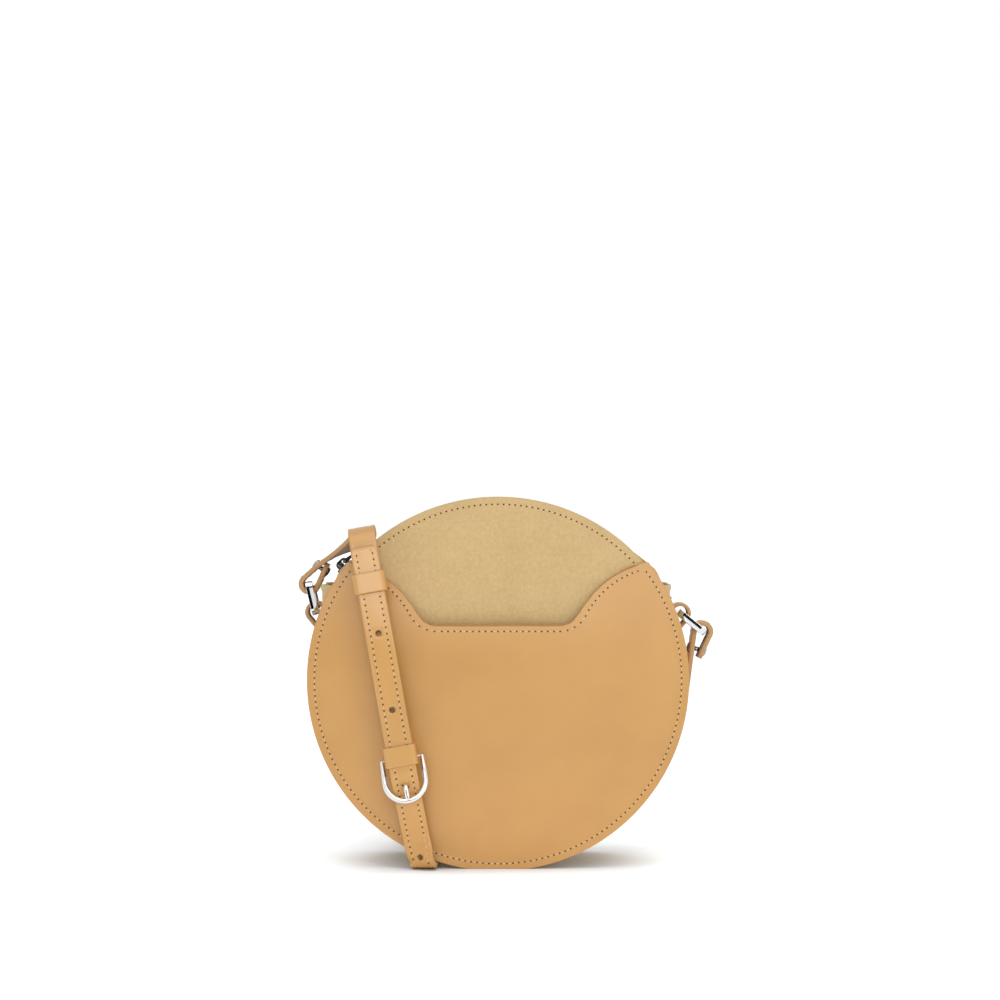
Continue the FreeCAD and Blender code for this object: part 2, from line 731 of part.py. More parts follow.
def keeper(z, near_y, far_y):
    """Leather loop round the strap layers between two depths."""
    inner_width = strap_width + 2 * keeper_clearance
    depth_in = far_y - near_y
    outer = Part.makeBox(inner_width + 2 * keeper_wall, keeper_length, depth_in + 2 * keeper_wall,
                         V(-inner_width / 2 - keeper_wall, -keeper_length / 2, -depth_in / 2 - keeper_wall))
    edges = [e for e in outer.Edges if e.BoundBox.YLength > keeper_length / 2]
    outer = outer.makeFillet(keeper_wall * 0.95, edges)
    window = Part.makeBox(inner_width, keeper_length, depth_in,
                          V(-inner_width / 2, -keeper_length / 2, -depth_in / 2))
    loop = outer.cut(window)
    place = on_front(z, (near_y + far_y) / 2)
    loop.Placement = FreeCAD.Placement(place, FreeCAD.Rotation(run_across, run_ahead, V(0, 1, 0), "XYZ"))
    return loop


# Rivet seats and holes
buckle_band = buckle_strap_band()
hole_band = hole_strap_band()
left_seat = strap_rivet_seat(buckle_band, 1, 13)
right_seat = strap_rivet_seat(hole_band, len(hole_band.stations) - 14, len(hole_band.stations) - 2)
tab_seats = [tab_rivet_point(left_tab_bar), tab_rivet_point(right_tab_bar)]
shank_hole = rivet_shank_radius + rivet_clearance


def tab_drilled(shape):
    """Holes for the two tab rivets."""
    for point, outward, grip in tab_seats:
        shape = shape.cut(drill(point, outward, shank_hole, grip))
    return shape


# Body panels, boards and linings
save("front_panel", panel(0, 0, panel_thickness))
save("front_pocket", front_pocket())
save("back_panel", panel(0, inner_back, panel_thickness))
save("side_gusset", tab_drilled(side_gusset()))
save("front_board", panel(board_inset, inner_front, board_thickness))
save("back_board", panel(board_inset, inner_back - board_thickness, board_thickness))
save("front_lining", panel(lining_inset, inner_front + board_thickness, lining_thickness))
save("back_lining", panel(lining_inset, inner_back - board_thickness - lining_thickness, lining_thickness))
save("gusset_lining", tab_drilled(gusset_lining()))

# Zip
save("top_strip_front", top_strip(True))
save("top_strip_back", top_strip(False))
save("zip_tape_front", zip_tape(True))
save("zip_tape_back", zip_tape(False))
save("zip_teeth_front", zip_teeth(True))
save("zip_teeth_back", zip_teeth(False))
save("zip_stops", zip_stops())
save("zip_slider", zip_slider())
save("zip_puller", zip_puller())

# Rings, tabs and rivets
save("ring_left", ring(left_tab_bar, left_strap_bar))
save("ring_right", ring(right_tab_bar, right_strap_bar))
save("ring_tab_left", tab_drilled(tab_band(left_tab_bar).solid(tab_width, tab_thickness)))
save("ring_tab_right", tab_drilled(tab_band(right_tab_bar).solid(tab_width, tab_thickness)))
save("tab_rivet_left", rivet(*tab_seats[0]))
save("tab_rivet_right", rivet(*tab_seats[1]))
save("strap_rivet_left", rivet(*left_seat))
save("strap_rivet_right", rivet(*right_seat))

# Strap, buckle and keepers
buckle_strap = buckle_band.solid(strap_width, strap_thickness)
slot_width = prong_width + 2 * prong_slot_play
prong_clear = Part.makeBox(slot_width, prong_slot_length, 2 * prong_slot_length,
                           V(-slot_width / 2, -prong_slot_behind, -prong_slot_length))
prong_clear.Placement = buckle_placement(0.0)
buckle_strap = buckle_strap.cut(prong_clear).cut(rivet(*left_seat))
save("strap_buckle_end", buckle_strap)
hole_strap = hole_band.solid(strap_width, strap_thickness)
hole_strap = trim_tip(punch_holes(hole_strap)).cut(rivet(*right_seat))
save("strap_hole_end", hole_strap)
save("buckle_frame", buckle_frame())
save("buckle_prong", buckle_prong())
half_strap = strap_thickness / 2
layer_half = half_strap + layer_gap
save("fixed_keeper", keeper(fixed_keeper_z, hole_strap_y - layer_half, hole_strap_y + layer_half))
near = hole_strap_y - half_strap - keeper_clearance
far = strap_front_y + half_strap + keeper_clearance
save("sliding_keeper", keeper(sliding_keeper_z, near, far))

print("short strap length", round(buckle_band.length()))
print("long strap length", round(hole_band.length()))
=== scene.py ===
import math
import bmesh
import bpy
from mathutils import Matrix, Vector


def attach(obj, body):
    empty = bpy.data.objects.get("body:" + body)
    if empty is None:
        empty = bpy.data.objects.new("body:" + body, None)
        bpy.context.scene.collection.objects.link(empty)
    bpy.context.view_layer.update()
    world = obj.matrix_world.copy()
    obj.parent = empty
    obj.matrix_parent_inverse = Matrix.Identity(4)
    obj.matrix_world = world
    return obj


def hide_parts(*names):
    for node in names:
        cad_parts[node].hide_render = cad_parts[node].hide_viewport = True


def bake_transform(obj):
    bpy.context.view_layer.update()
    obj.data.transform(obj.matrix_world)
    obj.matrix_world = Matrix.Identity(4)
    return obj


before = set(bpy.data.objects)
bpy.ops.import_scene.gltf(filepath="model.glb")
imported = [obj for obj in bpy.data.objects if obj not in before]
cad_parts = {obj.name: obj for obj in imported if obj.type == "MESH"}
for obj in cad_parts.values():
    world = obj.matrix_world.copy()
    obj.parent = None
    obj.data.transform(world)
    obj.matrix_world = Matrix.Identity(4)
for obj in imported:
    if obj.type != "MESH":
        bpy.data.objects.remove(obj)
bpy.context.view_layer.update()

# Suede front panel. A disc of napped suede whose crown is a flatter arc than its sides. It is cut,
# backed by the turned-out seam allowance of the gusset and sewn to it all round the rim.
POCKET_RADIUS = 0.0955
BODY_CENTRE = 0.0943
CROWN_RADIUS = 0.0973
CROWN_CENTRE = 0.0886
RIM_STACK = 0.0026
PANEL_PUFF = 0.0012
PUFF_START = 0.0062
PUFF_END = 0.019
PANEL_SEGMENTS = 360
PANEL_RINGS = 36
PANEL_ROUNDING = 0.0005
RIM_CROWDING = 1.35
NEARLY_LEVEL = 0.01
SHEET_SHARP = 1.0
DEPTH = 0.060
SUEDE_DARK = (0.550, 0.371, 0.158, 1)
SUEDE_LIGHT = (0.688, 0.485, 0.230, 1)
SUEDE_CUT_DARK = (0.43, 0.29, 0.12, 1)
SUEDE_CUT_LIGHT = (0.54, 0.37, 0.17, 1)


class Shade:
    """A shader socket that takes part in sums and can feed any other node."""

    def __init__(self, tree, socket):
        self.tree = tree
        self.socket = socket

    def node(self, kind, settings, sockets, out=0):
        """Add a node, fed with values and other sockets."""
        made = self.tree.nodes.new(kind)
        for name, value in settings.items():
            setattr(made, name, value)
        for name, value in sockets.items():
            if isinstance(value, Shade):
                self.tree.links.new(value.socket, made.inputs[name])
            else:
                made.inputs[name].default_value = value
        return Shade(self.tree, made.outputs[out])

    def maths(self, operation, first, second):
        return self.node("ShaderNodeMath", {"operation": operation}, {0: first, 1: second})

    def noise(self, scale, detail, roughness=0.5):
        sockets = {"Vector": self, "Scale": scale, "Detail": detail, "Roughness": roughness}
        return self.node("ShaderNodeTexNoise", {}, sockets)

    def between(self, low, high):
        settings = {"interpolation_type": "SMOOTHSTEP"}
        return self.node("ShaderNodeMapRange", settings, {"Value": self, "From Min": low, "From Max": high})

    def tint(self, first, second):
        return self.node("ShaderNodeMix", {"data_type": "RGBA"}, {0: self, 6: first, 7: second}, out=2)

    def bump(self, strength, distance, over=None):
        sockets = {"Height": self, "Strength": strength, "Distance": distance}
        if over:
            sockets["Normal"] = over
        return self.node("ShaderNodeBump", {}, sockets)

    def __add__(self, other):
        return self.maths("ADD", self, other)

    __radd__ = __add__

    def __sub__(self, other):
        return self.maths("SUBTRACT", self, other)

    def __rsub__(self, other):
        return self.maths("SUBTRACT", other, self)

    def __mul__(self, other):
        return self.maths("MULTIPLY", self, other)

    __rmul__ = __mul__


def new_finish(name, **constants):
    """A material with its shader, the object coordinates, and constants set on the shader's own sockets."""
    finish = bpy.data.materials.new(name)
    finish.use_nodes = True
    tree = finish.node_tree
    shader = tree.nodes["Principled BSDF"]
    for socket, value in constants.items():
        shader.inputs[socket.replace("_", " ")].default_value = value
    coords = tree.nodes.new("ShaderNodeTexCoord")
    return finish, shader, Shade(tree, coords.outputs["Object"])


def feed(shader, **links):
    """Link what varies over the surface into the shader."""
    for socket, value in links.items():
        value.tree.links.new(value.socket, shader.inputs[socket.replace("_", " ")])


def suede_finish(name, dark, light):
    """Napped leather: brushed patches, short fibres and no gloss."""
    finish, shader, at = new_finish(name, Sheen_Weight=0.35, Sheen_Roughness=0.6, Specular_IOR_Level=0.15)
    patches = at.noise(46.0, 4.0, 0.6)
    nap = at.noise(620.0, 3.0, 0.65)
    fibre = at.noise(3600.0, 2.0, 0.7)
    tone = patches * 0.28 + nap * 0.55 + fibre * 0.5 - 0.165
    feed(shader, Base_Color=tone.between(0.25, 0.75).tint(dark, light))
    feed(shader, Roughness=0.86 + nap * 0.12)
    feed(shader, Normal=(fibre * 0.6 + nap * 0.7).bump(0.35, 0.0004))
    return finish


def edge_finish(name, dark, light):
    """Cut edge of the layered rim: a speckled tone between two colours, with a fine grainy bump."""
    finish, shader, at = new_finish(name, Specular_IOR_Level=0.3)
    speckle = at.noise(1800.0, 3.0, 0.6)
    feed(shader, Base_Color=speckle.between(0.3, 0.7).tint(dark, light))
    feed(shader, Roughness=0.6 + speckle * 0.2)
    feed(shader, Normal=speckle.bump(0.3, 0.0003))
    return finish


suede = suede_finish("suede", SUEDE_DARK, SUEDE_LIGHT)
suede_edge = edge_finish("suede_edge", SUEDE_CUT_DARK, SUEDE_CUT_LIGHT)


def ray_to_circle(start_z, centre_z, radius, angle):
    """Distance from a point on the Z axis to a circle on the same axis."""
    offset = centre_z - start_z
    along = offset * math.sin(angle)
    return along + math.sqrt(radius ** 2 - offset ** 2 + along ** 2)


def ray_to_floor(start_z, angle):
    """Distance from a point on the Z axis down to the flat that the bag stands on."""
    return start_z / -math.sin(angle) if math.sin(angle) < -NEARLY_LEVEL else 1.0


def panel_reach(angle):
    """Reach of the panel's outline from the body's centre."""
    body = ray_to_circle(BODY_CENTRE, BODY_CENTRE, POCKET_RADIUS, angle)
    crown = ray_to_circle(BODY_CENTRE, CROWN_CENTRE, CROWN_RADIUS, angle)
    return min(body, crown, ray_to_floor(BODY_CENTRE, angle))


def smooth_step(value, low, high):
    """Ease from 0 at low to 1 at high."""
    t = min(1.0, max(0.0, (value - low) / (high - low)))
    return t * t * (3 - 2 * t)


def laid_disc(segments, rings, centre_z, reach, height, angles=()):
    """A round sheet laid out ring by ring from its outline, then shaped by height(x, z, inset)."""
    bm = bmesh.new()
    bmesh.ops.create_circle(bm, cap_ends=True, segments=segments, radius=1.0)
    middle = bm.faces[:]
    for _ in range(rings - 1):
        bmesh.ops.inset_individual(bm, faces=middle, thickness=1.0 / rings, use_even_offset=True)
    bmesh.ops.poke(bm, faces=middle)
    step = 2 * math.pi / segments
    for vert in bm.verts:
        share = min(1.0, vert.co.length)
        angle = math.atan2(vert.co.y, vert.co.x)
        for corner in angles:
            if abs(angle - corner) <= step / 2:
                angle = corner
        share = 1 - (1 - share) ** RIM_CROWDING
        far = reach(angle)
        x = share * far * math.cos(angle)
        z = centre_z + share * far * math.sin(angle)
        vert.co = (x, height(x, z, far * (1 - share)), z)
    return bm


def ease_edges(bm, sharper, offset):
    """Round the edges at which the surface turns by more than an angle."""
    sharp = [e for e in bm.edges if e.is_manifold and e.calc_face_angle() > sharper]
    bmesh.ops.bevel(bm, geom=sharp, offset=offset, segments=2, profile=0.5, affect="EDGES", material=-1)


def thicken(bm, depth, round_off):
    """Give a sheet its thickness along Y and round its cut edges."""
    made = bmesh.ops.extrude_face_region(bm, geom=bm.faces[:], use_keep_orig=True)
    moved = [item for item in made["geom"] if isinstance(item, bmesh.types.BMVert)]
    bmesh.ops.translate(bm, verts=moved, vec=(0, depth, 0))
    bmesh.ops.recalc_face_normals(bm, faces=bm.faces[:])
    for face in bm.faces:
        face.material_index = 1 if abs(face.normal.y) < 0.5 else 0
    ease_edges(bm, SHEET_SHARP, round_off)


def mesh_object(name, bm):
    """Turn a finished mesh into an object of the scene."""
    mesh = bpy.data.meshes.new(name)
    bm.to_mesh(mesh)
    bm.free()
    made = bpy.data.objects.new(name, mesh)
    bpy.context.scene.collection.objects.link(made)
    return made


def place_piece(name, bm, body, finishes, nodes=()):
    """Make a finished mesh a piece that rides on a body and stands for CAD nodes."""
    piece = mesh_object(name, bm)
    for polygon in piece.data.polygons:
        polygon.use_smooth = True
    for finish in finishes:
        piece.data.materials.append(finish)
    if body:
        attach(piece, body)
    if nodes:
        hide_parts(*nodes)
    return piece


def panel_height(x, z, inset):
    """Front of the front panel: flat sewn margin, then a soft puff."""
    return -PANEL_PUFF * smooth_step(inset, PUFF_START, PUFF_END)


sheet = laid_disc(PANEL_SEGMENTS, PANEL_RINGS, BODY_CENTRE, panel_reach, panel_height)
thicken(sheet, RIM_STACK, PANEL_ROUNDING)
place_piece("suede_front_panel", sheet, "bag", [suede, suede_edge], ["front_panel"])

# Back panel. The same disc, cut from the same suede and left plain. It is sewn to the back flange of the
# gusset all round its rim, and the sewn margin lies flat while the middle puffs out a little.


def back_height(x, z, inset):
    """Inner side of the back panel at its rim."""
    return DEPTH - RIM_STACK


sheet = laid_disc(PANEL_SEGMENTS, PANEL_RINGS, BODY_CENTRE, panel_reach, back_height)
thicken(sheet, RIM_STACK, PANEL_ROUNDING)
for vert in sheet.verts:
    if vert.co.y > DEPTH - RIM_STACK / 2:
        angle = math.atan2(vert.co.z - BODY_CENTRE, vert.co.x)
        inset = panel_reach(angle) - math.hypot(vert.co.x, vert.co.z - BODY_CENTRE)
        vert.co.y += PANEL_PUFF * smooth_step(inset, PUFF_START, PUFF_END)
place_piece("suede_back_panel", sheet, "bag", [suede, suede_edge], ["back_panel"])

# Front slip pocket. Smooth tan leather cut to the bag's circle with a scalloped mouth, sewn down round
# the rim and left open at the top. It bellies forward a little, and its cut edge shows at the mouth.
POCKET_START = 0.070
LEATHER_THICK = 0.0014
POCKET_MARGIN = 0.0055
POCKET_DOME = 0.0062
MOUTH_Z = 0.122
MOUTH_FLAT = 0.0305
MOUTH_KNEE = (0.041, 0.1283)
MOUTH_CORNER = (0.0735, 0.153)
MOUTH_RUN_OUT = 0.006
CORNER_SEARCH = 40.0
CORNER_STEP = 0.05
CORNER_TRIES = 400
POCKET_SEGMENTS = 480
POCKET_RINGS = 44
POCKET_ROUNDING = 0.00035
BOW_START = 0.100
BOW_END = 0.205
LEATHER_GLOSS = 0.32
LEATHER_BOW = 0.0122
LEATHER_DARK = (0.546, 0.266, 0.056, 1)
LEATHER_LIGHT = (0.609, 0.307, 0.068, 1)
LEATHER_CUT_DARK = (0.48, 0.27, 0.12, 1)
LEATHER_CUT_LIGHT = (0.60, 0.36, 0.18, 1)


def leather_finish(name, dark, light, gloss, bow):
    """Smooth finished leather: even colour, fine grain, soft gloss, and shading normals that lean back
    towards its top, as if the face bowed back there.
    """
    finish, shader, at = new_finish(name, Specular_IOR_Level=0.9)
    cloud = at.noise(26.0, 3.0, 0.55)
    grain = at.node("ShaderNodeTexVoronoi", {}, {"Vector": at, "Scale": 1500.0})
    pore = at.noise(2600.0, 2.0, 0.6)
    tone = cloud * 0.75 + pore * 0.25
    feed(shader, Base_Color=tone.between(0.25, 0.75).tint(dark, light))
    feed(shader, Roughness=gloss + pore * 0.12)
    height = at.node("ShaderNodeSeparateXYZ", {}, {"Vector": at}, out=2)
    leaning = (height.between(BOW_START, BOW_END) * -bow).bump(1.0, 1.0)
    feed(shader, Normal=(grain * 0.5 + pore * 0.5).bump(0.10, 0.0002, leaning))
    return finish


leather = leather_finish("smooth_leather", LEATHER_DARK, LEATHER_LIGHT, LEATHER_GLOSS, LEATHER_BOW)
leather_edge = edge_finish("leather_edge", LEATHER_CUT_DARK, LEATHER_CUT_LIGHT)


def arc_points(start, start_angle, end, count):
    """Points on the arc that leaves start at an angle and ends at end."""
    chord = Vector(end) - Vector(start)
    chord_angle = math.atan2(chord.y, chord.x)
    half_turn = chord_angle - start_angle
    radius = chord.length / (2 * math.sin(half_turn))
    centre = Vector(start) + Vector((-math.sin(start_angle), math.cos(start_angle))) * radius
    points = []
    for i in range(count + 1):
        angle = start_angle - math.pi / 2 + 2 * half_turn * i / count
        points.append(centre + Vector((math.cos(angle), math.sin(angle))) * radius)
    return points, chord_angle + half_turn


def mouth_line():
    """Right half of the mouth, from the middle to the rim."""
    first, knee_angle = arc_points((MOUTH_FLAT, MOUTH_Z), 0.0, MOUTH_KNEE, 14)
    second, corner_angle = arc_points(MOUTH_KNEE, knee_angle, MOUTH_CORNER, 22)
    ahead = Vector((math.cos(corner_angle), math.sin(corner_angle)))
    last = Vector(MOUTH_CORNER) + ahead * MOUTH_RUN_OUT
    flat = [Vector((MOUTH_FLAT * i / 10, MOUTH_Z)) for i in range(10)]
    return flat + first + second[1:] + [last]


mouth_polar = []
for point in mouth_line():
    from_start = point - Vector((0, POCKET_START))
    mouth_polar.append((math.atan2(from_start.y, from_start.x), from_start.length))


def mouth_reach(angle):
    """Distance from the pocket's start point to the mouth, for angles above the corners."""
    side = angle if angle <= math.pi / 2 else math.pi - angle
    for (high, far), (low, near) in zip(mouth_polar, mouth_polar[1:]):
        if low <= side <= high:
            share = (high - side) / (high - low) if high > low else 0.0
            return far + (near - far) * share
    return 1.0


def pocket_reach(angle):
    """Reach of the pocket's outline from its start point."""
    rim = ray_to_circle(POCKET_START, BODY_CENTRE, POCKET_RADIUS, angle)
    return min(rim, ray_to_floor(POCKET_START, angle), mouth_reach(angle) if angle > 0 else 1.0)


def pocket_face(x, z):
    """Outer face of the pocket."""
    base = POCKET_RADIUS - POCKET_MARGIN
    away = math.hypot(x, z - BODY_CENTRE)
    sphere = (base ** 2 + POCKET_DOME ** 2) / (2 * POCKET_DOME)
    rise = math.sqrt(sphere ** 2 - min(away, base) ** 2) - (sphere - POCKET_DOME)
    return -LEATHER_THICK - rise


corner_angle = 0.0
for i in range(CORNER_TRIES):
    trial = math.radians(CORNER_SEARCH + i * CORNER_STEP)
    if mouth_reach(trial) > ray_to_circle(POCKET_START, BODY_CENTRE, POCKET_RADIUS, trial):
        corner_angle = trial
corners = (corner_angle, math.pi - corner_angle)
sheet = laid_disc(POCKET_SEGMENTS, POCKET_RINGS, POCKET_START, pocket_reach,
                  lambda x, z, inset: pocket_face(x, z), corners)
thicken(sheet, LEATHER_THICK, POCKET_ROUNDING)
place_piece("front_slip_pocket", sheet, "bag", [leather, leather_edge], ["front_pocket"])

# Gusset. One suede strip bent to a U between the panels, inset from the rim. Its ends stand up free
# at both sides as hemmed ears that close over the ends of the zip.
GUSSET_RADIUS = 0.0875
GUSSET_THICK = 0.0014
EAR_TOP = 0.1415
EAR_START = 0.131
EAR_FLARE = {-1: 0.0020, 1: 0.0}
FLARE_START = 0.116
FLARE_NEAR = 0.008
FLARE_FAR = 0.016
EAR_STEPS = 60
EAR_EASE = 0.006
EAR_TURN = 0.013
EAR_SEAM = 0.0025
HEM = 0.0030
HEM_THICK = 0.0006
HEM_EASE = 0.0004
GUSSET_SAG = 0.0009
GUSSET_LANES = 32
GUSSET_STEPS = 96
AT_CENTRE = 0.0002

gusset = bmesh.new()
lane_width = (DEPTH - 2 * RIM_STACK) / GUSSET_LANES
lane_places = [RIM_STACK + lane_width * i for i in range(GUSSET_LANES + 1)]
lane = [gusset.verts.new((-GUSSET_RADIUS, y, BODY_CENTRE)) for y in lane_places]
lane_edges = [gusset.edges.new(pair) for pair in zip(lane, lane[1:])]
for vert in lane:
    across = (vert.co.y - DEPTH / 2) / (DEPTH / 2)
    vert.co.x += GUSSET_SAG * (1 - across ** 2)
bmesh.ops.spin(gusset, geom=lane + lane_edges, cent=(0, 0, BODY_CENTRE), axis=(0, -1, 0),
               angle=math.pi, steps=GUSSET_STEPS, use_merge=False)
for side in (-1, 1):
    level = {v for v in gusset.verts if v.co.x * side > 0 and abs(v.co.z - BODY_CENTRE) < AT_CENTRE}
    ends = [e for e in gusset.edges if e.is_boundary and all(v in level for v in e.verts)]
    rise = EAR_TOP - BODY_CENTRE
    for step in range(EAR_STEPS):
        grown = bmesh.ops.extrude_edge_only(gusset, edges=ends)["geom"]
        verts = [g for g in grown if isinstance(g, bmesh.types.BMVert)]
        ends = [g for g in grown if isinstance(g, bmesh.types.BMEdge) and all(v in verts for v in g.verts)]
        bmesh.ops.translate(gusset, verts=verts, vec=(0, 0, rise / EAR_STEPS))
for vert in gusset.verts:
    side = 1 if vert.co.x > 0 else -1
    away = abs(vert.co.y - DEPTH / 2)
    edge = smooth_step(away, DEPTH / 2 - EAR_TURN, DEPTH / 2 - RIM_STACK)
    rim_x = math.sqrt(POCKET_RADIUS ** 2 - (vert.co.z - BODY_CENTRE) ** 2) - EAR_SEAM
    turn_in = max(0.0, abs(vert.co.x) - rim_x) * edge
    turn_in *= smooth_step(vert.co.z, EAR_START, EAR_START + EAR_EASE)
    flare = EAR_FLARE[side] * smooth_step(vert.co.z, FLARE_START, EAR_START)
    flare *= smooth_step(away, FLARE_NEAR, FLARE_FAR) * (1 - edge)
    hem = HEM_THICK * smooth_step(vert.co.z, EAR_TOP - HEM - HEM_EASE, EAR_TOP - HEM + HEM_EASE)
    vert.co.x += (hem + flare - turn_in) * side
bmesh.ops.recalc_face_normals(gusset, faces=gusset.faces[:])
bag_middle = Vector((0, DEPTH / 2, BODY_CENTRE))
if sum(face.normal.dot(face.calc_center_median() - bag_middle) for face in gusset.faces) < 0:
    bmesh.ops.reverse_faces(gusset, faces=gusset.faces[:])
bmesh.ops.solidify(gusset, geom=gusset.faces[:], thickness=GUSSET_THICK)
place_piece("suede_gusset", gusset, "bag", [suede, suede_edge], ["side_gusset"])

# Top strips and zip tapes. Two suede strips bent along the zip's arc, each with its zip edge turned under
# and its other edge sewn to a panel. A woven cotton tape is sewn below each strip and carries the teeth.
ZIP_RADIUS = 0.1171036
ZIP_CENTRE = 0.0613964
ZIP_REACH = 0.0835
ZIP_HALF_ANGLE = math.asin(ZIP_REACH / ZIP_RADIUS)
ZIP_STEPS = 110
STRIP_REACH = 0.0865
SHEET_HALF_ANGLE = math.asin(STRIP_REACH / ZIP_RADIUS)
END_DIP = 0.006
DIP_START = 0.0785
DIP_END = 0.0845
ZIP_GAP = 0.016
STRIP_THICK = 0.0012
STRIP_LANES = 14
STRIP_ROLL = 0.0003
ROLL_START = 0.9
TAPE_LANES = 8
TAPE_PITCH = 0.0011
TAPE_THICK = 0.0006
TAPE_OVERLAP = 0.004
CHAIN_WIDTH = 0.0044
TAPE_DARK = (0.36, 0.24, 0.10, 1)
TAPE_LIGHT = (0.52, 0.36, 0.165, 1)


def weave_finish(name, dark, light, pitch):
    """Plain woven cloth: crossing ribs at a thread pitch."""
    finish, shader, at = new_finish(name, Sheen_Weight=0.2, Specular_IOR_Level=0.2)
    threads = {"Vector": at, "Scale": 1 / pitch, "Distortion": 0.4}
    ribs = at.node("ShaderNodeTexWave", {"bands_direction": "Y"}, threads)
    cross = at.node("ShaderNodeTexWave", {"bands_direction": "X"}, threads)
    height = ribs * 0.6 + cross * 0.4
    feed(shader, Base_Color=height.between(0.1, 0.9).tint(dark, light))
    feed(shader, Roughness=0.75 + height * 0.15)
    feed(shader, Normal=height.bump(0.5, 0.0002))
    return finish


tape_cloth = weave_finish("zip_tape_cloth", TAPE_DARK, TAPE_LIGHT, TAPE_PITCH)


def zip_sheet(start_y, end_y, radius, lanes, roll):
    """A sheet along the zip arc, rolled down at its zip-side edge."""
    bm = bmesh.new()
    row = []
    for i in range(lanes + 1):
        share = i / lanes
        drop = roll * smooth_step(share, ROLL_START, 1.0)
        y = start_y + (end_y - start_y) * share
        spot = (-math.sin(SHEET_HALF_ANGLE), math.cos(SHEET_HALF_ANGLE))
        row.append(bm.verts.new((spot[0] * (radius - drop), y, ZIP_CENTRE + spot[1] * (radius - drop))))
    edges = [bm.edges.new(pair) for pair in zip(row, row[1:])]
    bmesh.ops.spin(bm, geom=row + edges, cent=(0, 0, ZIP_CENTRE), axis=(0, 1, 0),
                   angle=2 * SHEET_HALF_ANGLE, steps=ZIP_STEPS, use_merge=False)
    for vert in bm.verts:
        vert.co.z -= END_DIP * smooth_step(abs(vert.co.x), DIP_START, DIP_END)
    bmesh.ops.recalc_face_normals(bm, faces=bm.faces[:])
    if sum(f.normal.z for f in bm.faces) < 0:
        bmesh.ops.reverse_faces(bm, faces=bm.faces[:])
    return bm


tape_width = ZIP_GAP / 2 + TAPE_OVERLAP - CHAIN_WIDTH / 2
for label, near, far in (("front", RIM_STACK, DEPTH / 2 - ZIP_GAP / 2),
                         ("back", DEPTH - RIM_STACK, DEPTH / 2 + ZIP_GAP / 2)):
    strip_node = "top_strip_" + label
    strip = zip_sheet(near, far, ZIP_RADIUS + STRIP_THICK, STRIP_LANES, STRIP_ROLL)
    bmesh.ops.solidify(strip, geom=strip.faces[:], thickness=STRIP_THICK)
    place_piece(strip_node + "_suede", strip, "bag", [suede, suede_edge], [strip_node])
    side = -1 if label == "front" else 1
    edge = DEPTH / 2 + side * CHAIN_WIDTH / 2
    tape_node = "zip_tape_" + label
    tape = zip_sheet(edge + side * tape_width, edge, ZIP_RADIUS, TAPE_LANES, 0.0)
    bmesh.ops.solidify(tape, geom=tape.faces[:], thickness=TAPE_THICK)
    place_piece(tape_node + "_cloth", tape, "bag", [tape_cloth], [tape_node])

# Zip teeth. Two rows of small metal teeth, plated dark and clamped on the edges of the tapes. One row is
# shifted by half a pitch, so the two interlock, and both end a little before the strips do.
TOOTH_PITCH = 0.0024
TOOTH_LENGTH = 0.00105
TOOTH_REACH = 0.0030
TOOTH_EASE = 0.00022
CHAIN_HEIGHT = 0.0022
END_MARGIN = math.radians(3.4)
DARK_TONE = (0.16, 0.15, 0.14, 1)
BRIGHT_TONE = (0.80, 0.79, 0.78, 1)


def metal_finish(name, tone, roughness, smear):
    """Polished plated metal with faint handling marks."""
    finish, shader, at = new_finish(name, Metallic=1.0)
    marks = at.noise(900.0, 4.0, 0.6)
    cloud = at.noise(120.0, 2.0, 0.5)
    dull = tuple(c * 0.9 for c in tone[:3]) + (1,)
    feed(shader, Base_Color=cloud.between(0.3, 0.7).tint(dull, tone))
    feed(shader, Roughness=roughness + marks * smear)
    return finish


dark_nickel = metal_finish("dark_nickel", DARK_TONE, 0.12, 0.12)
nickel = metal_finish("polished_nickel", BRIGHT_TONE, 0.04, 0.02)

tooth_step = TOOTH_PITCH / ZIP_RADIUS
half_teeth = ZIP_HALF_ANGLE - END_MARGIN
tooth_count = int(2 * half_teeth / tooth_step)
for label, side, shift in (("front", -1, 0.0), ("back", 1, 0.5)):
    teeth = bmesh.new()
    for i in range(tooth_count):
        angle = -half_teeth + (i + shift) * tooth_step
        spot = Matrix.Translation((0, DEPTH / 2, ZIP_CENTRE)) @ Matrix.Rotation(angle, 4, "Y")
        off_middle = side * (CHAIN_WIDTH - TOOTH_REACH) / 2
        spot = spot @ Matrix.Translation((0, off_middle, ZIP_RADIUS - TAPE_THICK / 2))
        size = Matrix.Diagonal((TOOTH_LENGTH, TOOTH_REACH, CHAIN_HEIGHT, 1))
        bmesh.ops.create_cube(teeth, size=1.0, matrix=spot @ size)
    bmesh.ops.bevel(teeth, geom=teeth.edges[:], offset=TOOTH_EASE, segments=1, profile=0.5, affect="EDGES",
                    material=-1)
    teeth_node = "zip_teeth_" + label
    piece = place_piece(teeth_node + "_row", teeth, "bag", [dark_nickel], [teeth_node])
    for polygon in piece.data.polygons:
        polygon.use_smooth = False

